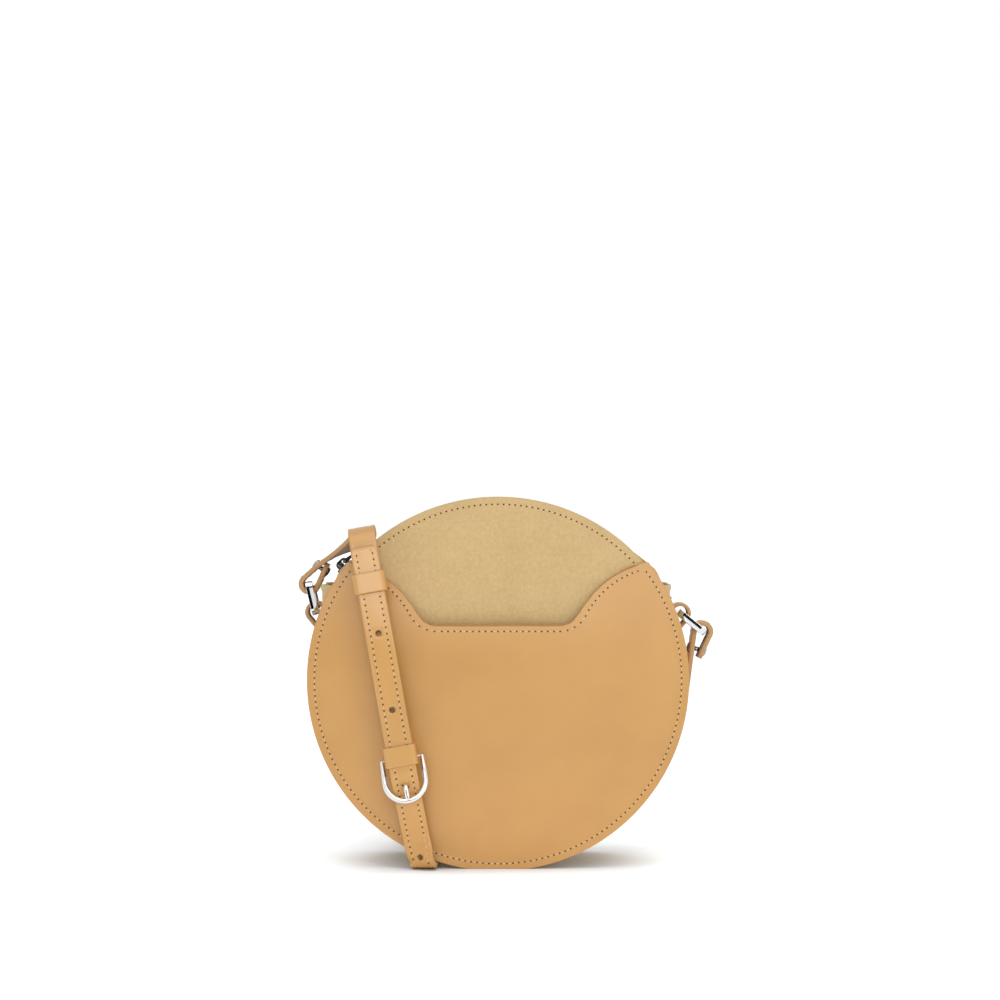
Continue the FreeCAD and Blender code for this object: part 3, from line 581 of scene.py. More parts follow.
# Side tabs. Short bands of the pocket's leather, folded over a ring's bar and riveted to the gusset. A band
# is laid out station by station, each with its place, its heading and the side that is its inner face,
# and swept with a rounded section.
RING_WIRE = 0.0028
RING_DEPTH = 0.0036
RING_LENGTH = 0.0175
RING_REACH = RING_LENGTH - RING_WIRE
TAB_WIDTH = 0.0124
TAB_THICK = 0.0018
TAB_LOOP_CLEAR = 0.0014
TAB_LOOP = math.hypot(RING_WIRE, RING_DEPTH) / 2 + TAB_LOOP_CLEAR + TAB_THICK / 2
TAB_BAR_X = GUSSET_RADIUS + TAB_THICK / 2 + TAB_LOOP
TAB_BOTTOM = 0.102
TAB_CLOSING = 40.0
TAB_EASING = 0.005
LEFT_BAR_Z = 0.1271
RIGHT_BAR_Z = 0.1264
LAYER_GAP = 0.0001
EDGE_EASE = 0.0005
GROOVE_IN = 0.0026
GROOVE_DEPTH = 0.00012
MIDDLE = DEPTH / 2
# Flesh side colours, made darker than the flesh's own tone: partly the flesh's colour, partly painted shade.
FLESH_PAINTED_SHADE_DARK = (0.28, 0.175, 0.092, 1)
FLESH_PAINTED_SHADE_LIGHT = (0.40, 0.26, 0.145, 1)


def heading(degrees):
    """Direction in the XZ plane."""
    turn = math.radians(degrees)
    return Vector((math.cos(turn), 0, math.sin(turn)))


class Band:
    """A flat leather band laid out station by station."""

    def __init__(self, place, ahead, inner):
        self.stations = [(place.copy(), ahead.normalized(), inner.normalized())]

    def straight(self, length, steps=1):
        """Carry on straight ahead."""
        for _ in range(steps):
            place, ahead, inner = self.stations[-1]
            self.stations.append((place + ahead * (length / steps), ahead, inner))
        return self

    def bend(self, degrees, radius, steps):
        """Turn towards the inner side, or away from it where degrees are negative."""
        place, ahead, inner = self.stations[-1]
        side = 1 if degrees > 0 else -1
        centre = place + inner * (side * radius)
        axis = ahead.cross(inner)
        for i in range(1, steps + 1):
            turn = Matrix.Rotation(math.radians(degrees * i / steps), 3, axis)
            self.stations.append((centre - turn @ (inner * (side * radius)), turn @ ahead, turn @ inner))
        return self

    def flow(self, place, ahead, inner, pull, steps):
        """Run in a smooth curve to a place, and arrive with a heading and an inner side."""
        start, start_ahead, start_inner = self.stations[-1]
        ahead = ahead.normalized()
        inner = inner.normalized()
        for i in range(1, steps + 1):
            u = i / steps
            h2 = 3 * u ** 2 - 2 * u ** 3
            h1 = u ** 3 - 2 * u ** 2 + u
            h3 = u ** 3 - u ** 2
            point = start * (1 - h2) + start_ahead * (pull * h1) + place * h2 + ahead * (pull * h3)
            d0 = 6 * u ** 2 - 6 * u
            d1 = 3 * u ** 2 - 4 * u + 1
            d3 = 3 * u ** 2 - 2 * u
            slope = start * d0 + start_ahead * (pull * d1) - place * d0 + ahead * (pull * d3)
            slope.normalize()
            blend = start_inner * (1 - h2) + inner * h2
            blend = (blend - slope * blend.dot(slope)).normalized()
            self.stations.append((point, slope, blend))
        return self

    def length(self):
        """Length along the middle of the band."""
        places = [station[0] for station in self.stations]
        return sum((b - a).length for a, b in zip(places, places[1:]))

    def at(self, distance):
        """Station at a distance along the band."""
        for (p0, a0, n0), (p1, a1, n1) in zip(self.stations, self.stations[1:]):
            span = (p1 - p0).length
            if distance <= span:
                share = distance / span if span else 0.0
                return p0.lerp(p1, share), a0.lerp(a1, share).normalized(), n0.lerp(n1, share).normalized()
            distance -= span
        return self.stations[-1]


def band_section(width, thick, groove_in, groove):
    """Rounded section of a band: cut edges eased, a shallow groove under each stitch line."""
    half = width / 2
    top = thick / 2
    ease = min(EDGE_EASE, thick * 0.3)
    lip = groove_in * 0.45
    across = [half - ease, half - lip, half - groove_in, half - groove_in * 1.5]
    face = [(a, top - (groove if i == 2 else 0.0)) for i, a in enumerate(across)]
    upper = face + [(-a, t) for a, t in reversed(face)]
    left = [(-half + ease * 0.3, top - ease * 0.3), (-half, top - ease), (-half, -top + ease),
            (-half + ease * 0.3, -top + ease * 0.3)]
    lower = [(-a, -top) for a in across] + [(a, -top) for a in reversed(across)]
    right = [(half - ease * 0.3, -top + ease * 0.3), (half, -top + ease), (half, top - ease),
             (half - ease * 0.3, top - ease * 0.3)]
    return upper + left + lower + right


EDGE_PARTS = (set(range(8, 12)), set(range(20, 24)))
FLESH_PARTS = set(range(12, 20))


def sweep(stations, section, scales):
    """Carry a closed section along stations, scaled at each across the band and through it."""
    bm = bmesh.new()
    part_of = {}
    for index, ((place, ahead, inner), (wide, deep)) in enumerate(zip(stations, scales)):
        across = ahead.cross(inner)
        spots = [place + across * (a * wide) - inner * (t * deep) for a, t in section]
        if index == 0:
            ring = [bm.verts.new(spot) for spot in spots]
            edges = [bm.edges.new((ring[i], ring[(i + 1) % len(ring)])) for i in range(len(ring))]
            bm.faces.new(ring)
        else:
            grown = bmesh.ops.extrude_edge_only(bm, edges=edges)["geom"]
            fresh = {v for v in grown if isinstance(v, bmesh.types.BMVert)}
            edges = [e for e in grown if isinstance(e, bmesh.types.BMEdge)]
            edges = [e for e in edges if all(v in fresh for v in e.verts)]
            ring = [next(e.other_vert(v) for e in v.link_edges if e.other_vert(v) in fresh) for v in ring]
            for vert, spot in zip(ring, spots):
                vert.co = spot
        part_of.update(zip(ring, range(len(ring))))
    bm.faces.new(ring)
    bmesh.ops.recalc_face_normals(bm, faces=bm.faces[:])
    return bm, part_of


def band_mesh(band, width, thick, groove_in=GROOVE_IN, groove=GROOVE_DEPTH, first_share=1.0):
    """Leather band, its first end narrowed: grain away from the inner side, cut edges, and flesh inside,
    whose finish is darkened as painted shade.
    """
    scales = [(first_share, 1.0)] + [(1.0, 1.0)] * (len(band.stations) - 1)
    bm, part_of = sweep(band.stations, band_section(width, thick, groove_in, groove), scales)
    for face in bm.faces:
        parts = {part_of[vert] for vert in face.verts}
        if parts <= EDGE_PARTS[0] or parts <= EDGE_PARTS[1] or len(parts) > 4:
            face.material_index = 1
        elif parts <= FLESH_PARTS:
            face.material_index = 2
    return bm


def tab_layout(side, bar_z):
    """Tab: up the gusset, over the ring's bar, back down on itself."""
    leg = GUSSET_RADIUS + TAB_THICK / 2
    band = Band(Vector((side * leg, MIDDLE, TAB_BOTTOM)), Vector((0, 0, 1)), Vector((side, 0, 0)))
    band.straight(bar_z - TAB_BOTTOM, 6).bend(180 + TAB_CLOSING, TAB_LOOP, 28)
    turn = math.radians(TAB_CLOSING)
    outer = TAB_BAR_X + TAB_LOOP * math.cos(turn)
    target = leg + TAB_THICK + LAYER_GAP
    pinch = (outer - target - TAB_EASING * (1 - math.cos(turn))) / math.sin(turn)
    band.straight(pinch, 2).bend(-TAB_CLOSING, TAB_EASING, 8)
    return band.straight(band.stations[-1][0].z - TAB_BOTTOM, 6)


# The flesh side is napped like suede, and its colour is darkened as painted shade on the undersides of tabs,
# straps and keepers.
flesh_with_painted_shade = suede_finish("leather_flesh_painted_shade", FLESH_PAINTED_SHADE_DARK, FLESH_PAINTED_SHADE_LIGHT)
tab_finishes = [leather, leather_edge, flesh_with_painted_shade]
for label, side, bar_z in (("left", -1, LEFT_BAR_Z), ("right", 1, RIGHT_BAR_Z)):
    tab = band_mesh(tab_layout(side, bar_z), TAB_WIDTH, TAB_THICK)
    tab_node = "ring_tab_" + label
    place_piece(tab_node + "_leather", tab, "bag", tab_finishes, [tab_node])

# Strap. Two bands of lined leather, stitched along both edges: the short one loops the left ring, twists,
# folds over the rim and wraps the buckle bar; the long one runs from its tip under the bag to the right ring.
STRAP_DARK = (0.572, 0.284, 0.062, 1)
STRAP_LIGHT = (0.638, 0.328, 0.076, 1)
STRAP_GLOSS = 0.25
STRAP_BOW = 0.0166
STRAP_WIDTH = 0.0134
STRAP_THICK = 0.0024
SLOPE = 0.178
FRONT_X = -0.0665
FRONT_TOP = 0.1616
STRAP_Y = -0.0126
KEEPER_WALL = 0.0012
KEEPER_LENGTH = 0.010
KEEPER_CLEAR = 0.0003
BAR_Z = 0.056
BAR_RADIUS = 0.0013
BAR_CLEAR = 0.00015
BAR_LOOP = BAR_RADIUS + BAR_CLEAR + STRAP_THICK / 2
BAR_TAIL = 0.014
FOLD_RADIUS = 0.008
FOLD_DEGREES = 130.0
FOLD_APEX = 0.171
TWIST_PULL = 0.030
RING_CLEAR = 0.0016
RING_LOOP = RING_WIRE / 2 + RING_CLEAR + STRAP_THICK / 2
LOOP_RUN = 0.009
TURNED_END = 0.013
LEFT_LEAN = 103.2
RIGHT_LEAN = -39.0
LEFT_INWARD = 246.0
LEFT_OUTWARD = 41.0
RIGHT_TURN = 198.0
RIGHT_UPWARD = 82.5
RIGHT_RISE = 0.030
RIGHT_PULL = 0.036
DROP_DEGREES = 18.5
DROP_RADIUS = 0.020
DROP_RUN = 0.028
FLOOR_GAP = 0.0003
UNDER_X = -0.0370
UNDER_START = -0.003
UNDER_END = 0.030
UNDER_LIFT = 0.0007
UNDER_PULL = 0.020
PILE_BEHIND = 0.006
PILE_RUN = 0.072
PILE_FOLD = 0.0032
# Each turn of the pile in degrees, and by how much the run after it is shorter.
PILE_TURNS = ((180, 0.006), (-180, 0.006), (180, 0.018))
BACK_POINT = (0.010, DEPTH + 0.010, 0.042)
BACK_AHEAD = (1, 0, 0.1)
BACK_PULL = 0.070
PASS_ANGLE = -22.0
PASS_BEHIND = 0.004
PASS_GAP = 0.003
PASS_AHEAD = 68.0
PASS_UPWARD = 0.8
PASS_FORWARD = 0.6
PASS_PULL = 0.055
TIP_CHAMFER = 0.002
TIP_SHARE = 0.70
LEFT_SOFT = ((-0.086, MIDDLE, 0.150), (-0.0735, MIDDLE, 0.150))
RIGHT_SOFT = ((0.090, MIDDLE, 0.070), (0.104, MIDDLE, 0.094))
HOLE_RADIUS = 0.0015
FIRST_HOLE = 0.0436
HOLE_PITCH = 0.0385
HOLE_COUNT = 5
PRONG_HOLE = 0.0119
run_ahead = Vector((SLOPE, 0, -1)).normalized()
run_across = Vector((1, 0, SLOPE)).normalized()
to_bag = Vector((0, 1, 0))
hole_strap_y = STRAP_Y - STRAP_THICK - KEEPER_WALL - 2 * LAYER_GAP
left_tab_bar = Vector((-TAB_BAR_X, MIDDLE, LEFT_BAR_Z))
left_strap_bar = left_tab_bar + heading(LEFT_LEAN) * RING_REACH
right_tab_bar = Vector((TAB_BAR_X, MIDDLE, RIGHT_BAR_Z))
right_strap_bar = right_tab_bar + heading(RIGHT_LEAN) * RING_REACH


def on_front(z, y):
    """Point on the strap's front centre line at a height."""
    return Vector((FRONT_X + (FRONT_TOP - z) * SLOPE, y, z))


def turned_to(axis):
    """Turn that brings the upright direction onto an axis."""
    return Vector((0, 0, 1)).rotation_difference(axis).to_matrix().to_4x4()


bar_point = on_front(BAR_Z, STRAP_Y + BAR_LOOP)


def short_strap_layout():
    """Left ring loop, twist, fold over the rim, down to the buckle bar."""
    start_inner = heading(LEFT_INWARD - 90)
    arc_start = left_strap_bar - start_inner * RING_LOOP
    band = Band(arc_start - heading(LEFT_INWARD) * TURNED_END, heading(LEFT_INWARD), start_inner)
    band.straight(TURNED_END, 4).bend(LEFT_INWARD - LEFT_OUTWARD, RING_LOOP, 30).straight(LOOP_RUN, 4)
    fold_end_z = FOLD_APEX - STRAP_THICK / 2 - FOLD_RADIUS
    fold_end = on_front(fold_end_z, STRAP_Y)
    back_turn = Matrix.Rotation(math.radians(-FOLD_DEGREES), 3, run_ahead.cross(to_bag))
    fold_inner = back_turn @ to_bag
    fold_start = fold_end + to_bag * FOLD_RADIUS - fold_inner * FOLD_RADIUS
    band.flow(fold_start, back_turn @ run_ahead, fold_inner, TWIST_PULL, 40)
    band.bend(FOLD_DEGREES, FOLD_RADIUS, 20)
    band.straight((fold_end_z - BAR_Z) / -run_ahead.z, 30)
    return band.bend(180, BAR_LOOP, 16).straight(BAR_TAIL, 4)


def long_strap_layout():
    """Tip, front run, under the bag, folded behind it, past the back rim, up to the right ring."""
    band = Band(on_front(FRONT_TOP, hole_strap_y), run_ahead, to_bag)
    front_run = (FRONT_TOP - BAR_Z) / -run_ahead.z + KEEPER_LENGTH / 2 + KEEPER_CLEAR
    band.straight(TIP_CHAMFER, 1).straight(front_run - TIP_CHAMFER, 40)
    band.bend(DROP_DEGREES, DROP_RADIUS, 8).straight(DROP_RUN, 8)
    floor_z = FLOOR_GAP + STRAP_THICK / 2
    up = Vector((0, 0, 1))
    band.flow(Vector((UNDER_X, UNDER_START, floor_z + UNDER_LIFT)), to_bag, up, UNDER_PULL, 30)
    band.flow(Vector((UNDER_X, UNDER_END, floor_z)), to_bag, up, UNDER_PULL, 12)
    band.straight(DEPTH + PILE_BEHIND - UNDER_END + PILE_RUN, 30)
    for turn, shorter in PILE_TURNS:
        band.bend(turn, PILE_FOLD, 16).straight(PILE_RUN - shorter, 12)
    band.flow(Vector(BACK_POINT), Vector(BACK_AHEAD), to_bag, BACK_PULL, 30)
    outward = heading(PASS_ANGLE)
    rim_point = Vector((0, DEPTH + PASS_BEHIND, BODY_CENTRE)) + outward * (POCKET_RADIUS + PASS_GAP)
    band.flow(rim_point, heading(PASS_AHEAD) * PASS_UPWARD - to_bag * PASS_FORWARD, outward, PASS_PULL, 30)
    upward = heading(RIGHT_UPWARD)
    ring_inner = heading(RIGHT_UPWARD - 90)
    arc_start = right_strap_bar - ring_inner * RING_LOOP
    band.flow(arc_start - upward * RIGHT_RISE, upward, ring_inner, RIGHT_PULL, 30)
    return band.straight(RIGHT_RISE, 8).bend(RIGHT_TURN, RING_LOOP, 30).straight(TURNED_END, 4)


strap_leather = leather_finish("strap_leather", STRAP_DARK, STRAP_LIGHT, STRAP_GLOSS, STRAP_BOW)
strap_finishes = [strap_leather, leather_edge, flesh_with_painted_shade]
short_strap = short_strap_layout()
long_strap = long_strap_layout()
short_band = band_mesh(short_strap, STRAP_WIDTH, STRAP_THICK)
strap_piece = place_piece("strap_short_leather", short_band, "", strap_finishes,
                          ["strap_buckle_end"])
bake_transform(strap_piece)
long_band = band_mesh(long_strap, STRAP_WIDTH, STRAP_THICK, first_share=TIP_SHARE)
long_piece = place_piece("strap_long_leather", long_band, "", strap_finishes, ["strap_hole_end"])
punch = bmesh.new()
distances = [FIRST_HOLE + HOLE_PITCH * i for i in range(HOLE_COUNT)]
distances.append((FRONT_TOP - BAR_Z) / -run_ahead.z + PRONG_HOLE)
for distance in distances:
    place, _, inner = long_strap.at(distance)
    bmesh.ops.create_cone(punch, cap_ends=True, segments=28, radius1=HOLE_RADIUS, radius2=HOLE_RADIUS,
                          depth=3 * STRAP_THICK, matrix=Matrix.Translation(place) @ turned_to(inner))
bmesh.ops.recalc_face_normals(punch, faces=punch.faces[:])
# The holes' walls take the darkened flesh finish: painted shade inside the holes.
for face in punch.faces:
    face.material_index = 2
cutter = mesh_object("punch", punch)
cut = long_piece.modifiers.new("holes", "BOOLEAN")
cut.object = cutter
cut.solver = "FAST"
bpy.context.view_layer.update()
punched = bpy.data.meshes.new_from_object(long_piece.evaluated_get(bpy.context.evaluated_depsgraph_get()))
long_piece.modifiers.clear()
long_piece.data = punched
bpy.data.objects.remove(cutter)
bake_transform(long_piece)

# Metal fittings. Rings, buckle, prong and rivets are cast, plated with nickel and polished: their edges
# are rounded, and the rings are bevelled on one side. The zip's own fittings are darker.
RING_SIDE_PLAY = 0.0005
RING_CORNER = 0.0020
RING_BEVEL = 0.00027
RING_BEVEL_START = -0.0001
RING_EASE = 0.0002
RING_SHARP = 0.8
SAME_PLACE = 1e-6
RING_SHADE_ANGLE = 0.1
BUCKLE_SIZE = 0.023
BUCKLE_STOCK = 0.0028
BUCKLE_TAPER = 0.72
BUCKLE_TAPER_RUN = 0.009
BUCKLE_DEPTH = 0.0024
BUCKLE_TILT = math.radians(20.5)
ARM_ABOVE_BAR = 0.0006
STOCK_CAP = 0.0009
PRONG_WIDE = 0.0023
PRONG_THICK = 0.0019
PRONG_FOOT = 0.0094
PRONG_KNEE = 0.0144
PRONG_RISE = 0.0091
PRONG_LEAN = 0.16
PRONG_PULL = 0.011
PRONG_TOE = 0.0048
PRONG_TAPER = 0.8
PRONG_TAPER_RUN = 0.003
RIVET_RADIUS = 0.0030
RIVET_HEIGHT = 0.0013
RIVET_SHANK = 0.4
RIVET_INSIDE = 0.0004
TAB_RIVET_UP = 0.008
RIVET_TONE = (0.34, 0.33, 0.32, 1)


def close_loop(bm, section):
    """Join the two ends of a swept loop."""
    caps = [face for face in bm.faces if len(face.verts) == len(section)]
    bmesh.ops.delete(bm, geom=caps, context="FACES_ONLY")
    bmesh.ops.remove_doubles(bm, verts=bm.verts[:], dist=SAME_PLACE)
    bmesh.ops.recalc_face_normals(bm, faces=bm.faces[:])


def ring_mesh(tab_bar, strap_bar):
    """Rectangular ring of flat stock with rounded corners, its outside bevelled towards one face."""
    along = (strap_bar - tab_bar).normalized()
    half_width = (STRAP_WIDTH + RING_WIRE) / 2 + RING_SIDE_PLAY
    side = half_width - RING_CORNER
    length = RING_REACH - 2 * RING_CORNER
    band = Band(tab_bar, to_bag, along).straight(side)
    for run in (length, 2 * side, length, side):
        band.bend(90, RING_CORNER, 6).straight(run)
    out = RING_WIRE / 2
    deep = RING_DEPTH / 2
    section = [(-deep, -out), (deep, -out), (deep, out - RING_BEVEL), (RING_BEVEL_START, out), (-deep, out)]
    bm, _ = sweep(band.stations, section, [(1.0, 1.0)] * len(band.stations))
    close_loop(bm, section)
    ease_edges(bm, RING_SHARP, RING_EASE)
    return bm


def round_section(half_wide, half_deep, count=20):
    """Oval section of round stock."""
    angles = [2 * math.pi * i / count for i in range(count)]
    return [(half_wide * math.cos(a), half_deep * math.sin(a)) for a in angles]


def end_scales(band, taper_run, taper, first, last):
    """Scales that round off and taper the chosen ends of round stock."""
    total = band.length()
    scales = []
    run = 0.0
    before = band.stations[0][0]
    for place, _, _ in band.stations:
        run += (place - before).length
        before = place
        near = min(run if first else 1.0, total - run if last else 1.0)
        cap = math.sqrt(max(0.03, 1 - (1 - min(near, STOCK_CAP) / STOCK_CAP) ** 2))
        scale = cap * (taper + (1 - taper) * smooth_step(near, 0.0, taper_run))
        scales.append((scale, scale))
    return scales


def rod(bm, place, axis, radius, length):
    """Add a round rod centred at a place."""
    bmesh.ops.create_cone(bm, cap_ends=True, segments=24, radius1=radius, radius2=radius, depth=length,
                          matrix=Matrix.Translation(place) @ turned_to(axis))


def buckle_mesh():
    """D-shaped frame of oval stock whose arms taper to the bar."""
    down = run_ahead * math.cos(BUCKLE_TILT) - to_bag * math.sin(BUCKLE_TILT)
    arm = (BUCKLE_SIZE - BUCKLE_STOCK) / 2
    run = BUCKLE_SIZE / 2 + ARM_ABOVE_BAR - STOCK_CAP
    band = Band(bar_point - run_across * arm - down * ARM_ABOVE_BAR, down, run_across)
    band.straight(STOCK_CAP, 6).straight(run, 14).bend(180, arm, 44).straight(run, 14).straight(STOCK_CAP, 6)
    section = round_section(BUCKLE_DEPTH / 2, BUCKLE_STOCK / 2)
    bm, _ = sweep(band.stations, section, end_scales(band, BUCKLE_TAPER_RUN, BUCKLE_TAPER, True, True))
    rod(bm, bar_point, run_across, BAR_RADIUS * 0.5, 2 * arm)
    return bm


def prong_mesh():
    """Cranked prong: an eye round the bar, up through the strap's hole, on to the frame's end."""
    band = Band(bar_point, run_ahead, to_bag).straight(PRONG_FOOT, 6)
    knee = bar_point + run_ahead * PRONG_KNEE - to_bag * PRONG_RISE
    band.flow(knee, run_ahead - to_bag * PRONG_LEAN, to_bag, PRONG_PULL, 18)
    band.straight(PRONG_TOE, 8).straight(STOCK_CAP, 6)
    section = round_section(PRONG_WIDE / 2, PRONG_THICK / 2)
    bm, _ = sweep(band.stations, section, end_scales(band, PRONG_TAPER_RUN, PRONG_TAPER, False, True))
    rod(bm, bar_point, run_across, BAR_RADIUS + PRONG_THICK / 2, PRONG_WIDE)
    return bm


def rivet_mesh(place, axis, grip):
    """Domed cap rivet: a cap on each side of the stack that it grips."""
    bm = bmesh.new()
    rod(bm, place, axis, RIVET_RADIUS * RIVET_SHANK, grip)
    for side in (-1, 1):
        cap = Matrix.Translation(place + axis * (side * grip / 2)) @ turned_to(axis)
        cap = cap @ Matrix.Diagonal((RIVET_RADIUS, RIVET_RADIUS, RIVET_HEIGHT, 1))
        bmesh.ops.create_uvsphere(bm, u_segments=28, v_segments=16, radius=1.0, matrix=cap)
    return bm


def strap_rivet(band, loop_start, loop_end):
    """Rivet across the two layers beyond a ring's loop."""
    first = band.at(loop_start - LOOP_RUN)
    last = band.at(loop_end + LOOP_RUN)
    axis = (last[0] - first[0]).normalized()
    grip = (last[0] - first[0]).length + STRAP_THICK / abs(axis.dot(first[2]))
    return rivet_mesh((first[0] + last[0]) / 2, axis, grip)


def place_metal(name, bm, body, node, finish=nickel):
    """Place a polished fitting."""
    return place_piece(name, bm, body, [finish], [node])


rivet_nickel = metal_finish("rivet_nickel", RIVET_TONE, 0.10, 0.04)
for label, side, tab_bar, strap_bar in (("left", -1, left_tab_bar, left_strap_bar),
                                        ("right", 1, right_tab_bar, right_strap_bar)):
    body = "ring_" + label + "_swinging"
    ring = place_metal("ring_" + label + "_metal", ring_mesh(tab_bar, strap_bar), body, "ring_" + label)
    ring.data.set_sharp_from_angle(angle=RING_SHADE_ANGLE)
    inside = GUSSET_RADIUS - GUSSET_THICK - RIVET_INSIDE
    outside = GUSSET_RADIUS + 2 * TAB_THICK + LAYER_GAP
    spot = Vector((side * (inside + outside) / 2, MIDDLE, TAB_BOTTOM + TAB_RIVET_UP))
    rivet = rivet_mesh(spot, Vector((side, 0, 0)), outside - inside)
    place_metal("tab_rivet_" + label + "_metal", rivet, "bag", "tab_rivet_" + label, rivet_nickel)
short_loop = math.radians(LEFT_INWARD - LEFT_OUTWARD) * RING_LOOP
rivet = strap_rivet(short_strap, TURNED_END, TURNED_END + short_loop)
place_metal("strap_rivet_left_metal", rivet, "ring_left_swinging", "strap_rivet_left", rivet_nickel)
long_loop = math.radians(RIGHT_TURN) * RING_LOOP
long_end = long_strap.length() - TURNED_END
rivet = strap_rivet(long_strap, long_end - long_loop, long_end)
place_metal("strap_rivet_right_metal", rivet, "ring_right_swinging", "strap_rivet_right", rivet_nickel)
place_metal("buckle_frame_metal", buckle_mesh(), "buckle", "buckle_frame")
place_metal("buckle_prong_metal", prong_mesh(), "prong", "buckle_prong")

# Zip slider, puller and stops. The slider is cast: two flanged plates on a divider, with a bridge over them
# that holds a stamped tab with a raised border. All are plated dark, and the stops are clamped on the tapes.
SLIDER_LENGTH = 0.009
SLIDER_WIDTH = 0.008
SLIDER_FROM_END = 0.0082
SLIDER_PLAY = 0.00025
PLATE_THICK = 0.0010
PLATE_TURN = 0.0022
FLANGE_DEPTH = 0.0008
FLANGE_WALL = 0.0009
DIVIDER_THICK = 0.0007
BRIDGE_HEIGHT = 0.0036
BRIDGE_LENGTH = 0.0070
BRIDGE_WIDE = 0.0018
BRIDGE_WALL = 0.0011
BRIDGE_TURN = 0.0018
POST_LENGTH = 0.0030
POST_HEIGHT = 0.0028
POST_START = -0.0026
PULLER_LENGTH = 0.019
PULLER_WIDTH = 0.0064
PULLER_THICK = 0.0011
PULLER_PLATE = 0.0007
PULLER_WINDOW = 0.0034
PULLER_NEAR_TURN = 0.0006
PULLER_FAR_TURN = 0.0022
PULLER_ARM_RISE = 1.1
PULLER_ARM_END = 0.006
CAST_EASE = 0.0002
CAST_SHARP = 1.0
CAST_SHADE_ANGLE = 0.6
chain_low = ZIP_RADIUS - CHAIN_HEIGHT / 2 - TAPE_THICK / 2
slider_low = chain_low - SLIDER_PLAY
slider_high = chain_low + CHAIN_HEIGHT + SLIDER_PLAY
slider_turn = SLIDER_FROM_END / ZIP_RADIUS - ZIP_HALF_ANGLE
slider_spot = Matrix.Translation((0, MIDDLE, ZIP_CENTRE)) @ Matrix.Rotation(slider_turn, 4, "Y")


def block(bm, place, size, corner=0.0):
    """Add a block, its upright corners rounded where asked."""
    spot = Matrix.Translation(place) @ Matrix.Diagonal((*size, 1))
    verts = bmesh.ops.create_cube(bm, size=1.0, matrix=spot)["verts"]
    edges = {edge for vert in verts for edge in vert.link_edges}
    upright = [e for e in edges if abs(e.verts[0].co.z - e.verts[1].co.z) > size[2] / 2]
    if corner:
        bmesh.ops.bevel(bm, geom=upright, offset=corner, segments=5, profile=0.5, affect="EDGES", material=-1)


def slider_mesh():
    """Flanged plates above and below the chain, the divider between them and the bridge on top."""
    rise = BRIDGE_HEIGHT + PLATE_THICK / 2 - BRIDGE_WALL / 2 - BRIDGE_TURN
    run = BRIDGE_LENGTH - BRIDGE_WALL - 2 * BRIDGE_TURN
    foot = Vector(((BRIDGE_WALL - BRIDGE_LENGTH) / 2, 0, slider_high + PLATE_THICK / 2))
    bridge = Band(foot, Vector((0, 0, 1)), Vector((1, 0, 0))).straight(rise, 2).bend(90, BRIDGE_TURN, 8)
    bridge.straight(run, 2).bend(90, BRIDGE_TURN, 8).straight(rise, 2)
    section = round_section(BRIDGE_WIDE / 2, BRIDGE_WALL / 2)
    bm, _ = sweep(bridge.stations, section, [(1.0, 1.0)] * len(bridge.stations))
    flange_length = SLIDER_LENGTH - 2 * PLATE_TURN
    flange_y = (SLIDER_WIDTH - FLANGE_WALL) / 2
    for inside, side in ((slider_high, 1), (slider_low, -1)):
        middle = (0, 0, inside + side * PLATE_THICK / 2)
        block(bm, middle, (SLIDER_LENGTH, SLIDER_WIDTH, PLATE_THICK), PLATE_TURN)
        for y in (-flange_y, flange_y):
            block(bm, (0, y, inside - side * FLANGE_DEPTH / 2), (flange_length, FLANGE_WALL, FLANGE_DEPTH))
    divider = (SLIDER_LENGTH / 3, DIVIDER_THICK, slider_high - slider_low + PLATE_THICK)
    block(bm, (SLIDER_LENGTH / 3, 0, (slider_high + slider_low) / 2), divider)
    post = (POST_START + POST_LENGTH / 2, 0, slider_high + PLATE_THICK + POST_HEIGHT / 2 - SLIDER_PLAY)
    block(bm, post, (POST_LENGTH, BRIDGE_WIDE, POST_HEIGHT))
    ease_edges(bm, CAST_SHARP, CAST_EASE)
    bm.transform(slider_spot)
    return bm


def puller_mesh():
    """Stamped tab: a raised border whose near bar hangs in the bridge, and a plate beyond its window."""
    pivot_z = slider_high + PLATE_THICK + (BRIDGE_HEIGHT - BRIDGE_WALL) / 2
    pivot = Vector((BRIDGE_LENGTH / 2 - BRIDGE_WALL - PULLER_THICK, 0, pivot_z))
    half = (PULLER_WIDTH - PULLER_THICK) / 2
    length = PULLER_LENGTH - PULLER_THICK
    arm = length - PULLER_NEAR_TURN - PULLER_FAR_TURN
    near = half - PULLER_NEAR_TURN
    border = Band(pivot, Vector((0, 1, 0)), Vector((1, 0, 0))).straight(near, 2).bend(90, PULLER_NEAR_TURN, 4)
    border.straight(arm, 16).bend(90, PULLER_FAR_TURN, 8).straight(2 * (half - PULLER_FAR_TURN), 2)
    border.bend(90, PULLER_FAR_TURN, 8).straight(arm, 16).bend(90, PULLER_NEAR_TURN, 4).straight(near, 2)
    scales = []
    for place, _, _ in border.stations:
        beside = smooth_step(abs(place.y), near, half)
        tall = 1 - smooth_step(place.x - pivot.x, 0.0, PULLER_ARM_END)
        scales.append((1 + PULLER_ARM_RISE * beside * tall, 1.0))
    section = round_section(PULLER_THICK / 2, PULLER_THICK / 2, 12)
    bm, _ = sweep(border.stations, section, scales)
    close_loop(bm, section)
    plate_start = PULLER_THICK / 2 + PULLER_WINDOW
    middle = pivot + Vector(((plate_start + length) / 2, 0, 0))
    block(bm, middle, (length - plate_start, 2 * half, PULLER_PLATE), PULLER_FAR_TURN)
    ease_edges(bm, CAST_SHARP, CAST_EASE)
    bm.transform(slider_spot)
    return bm


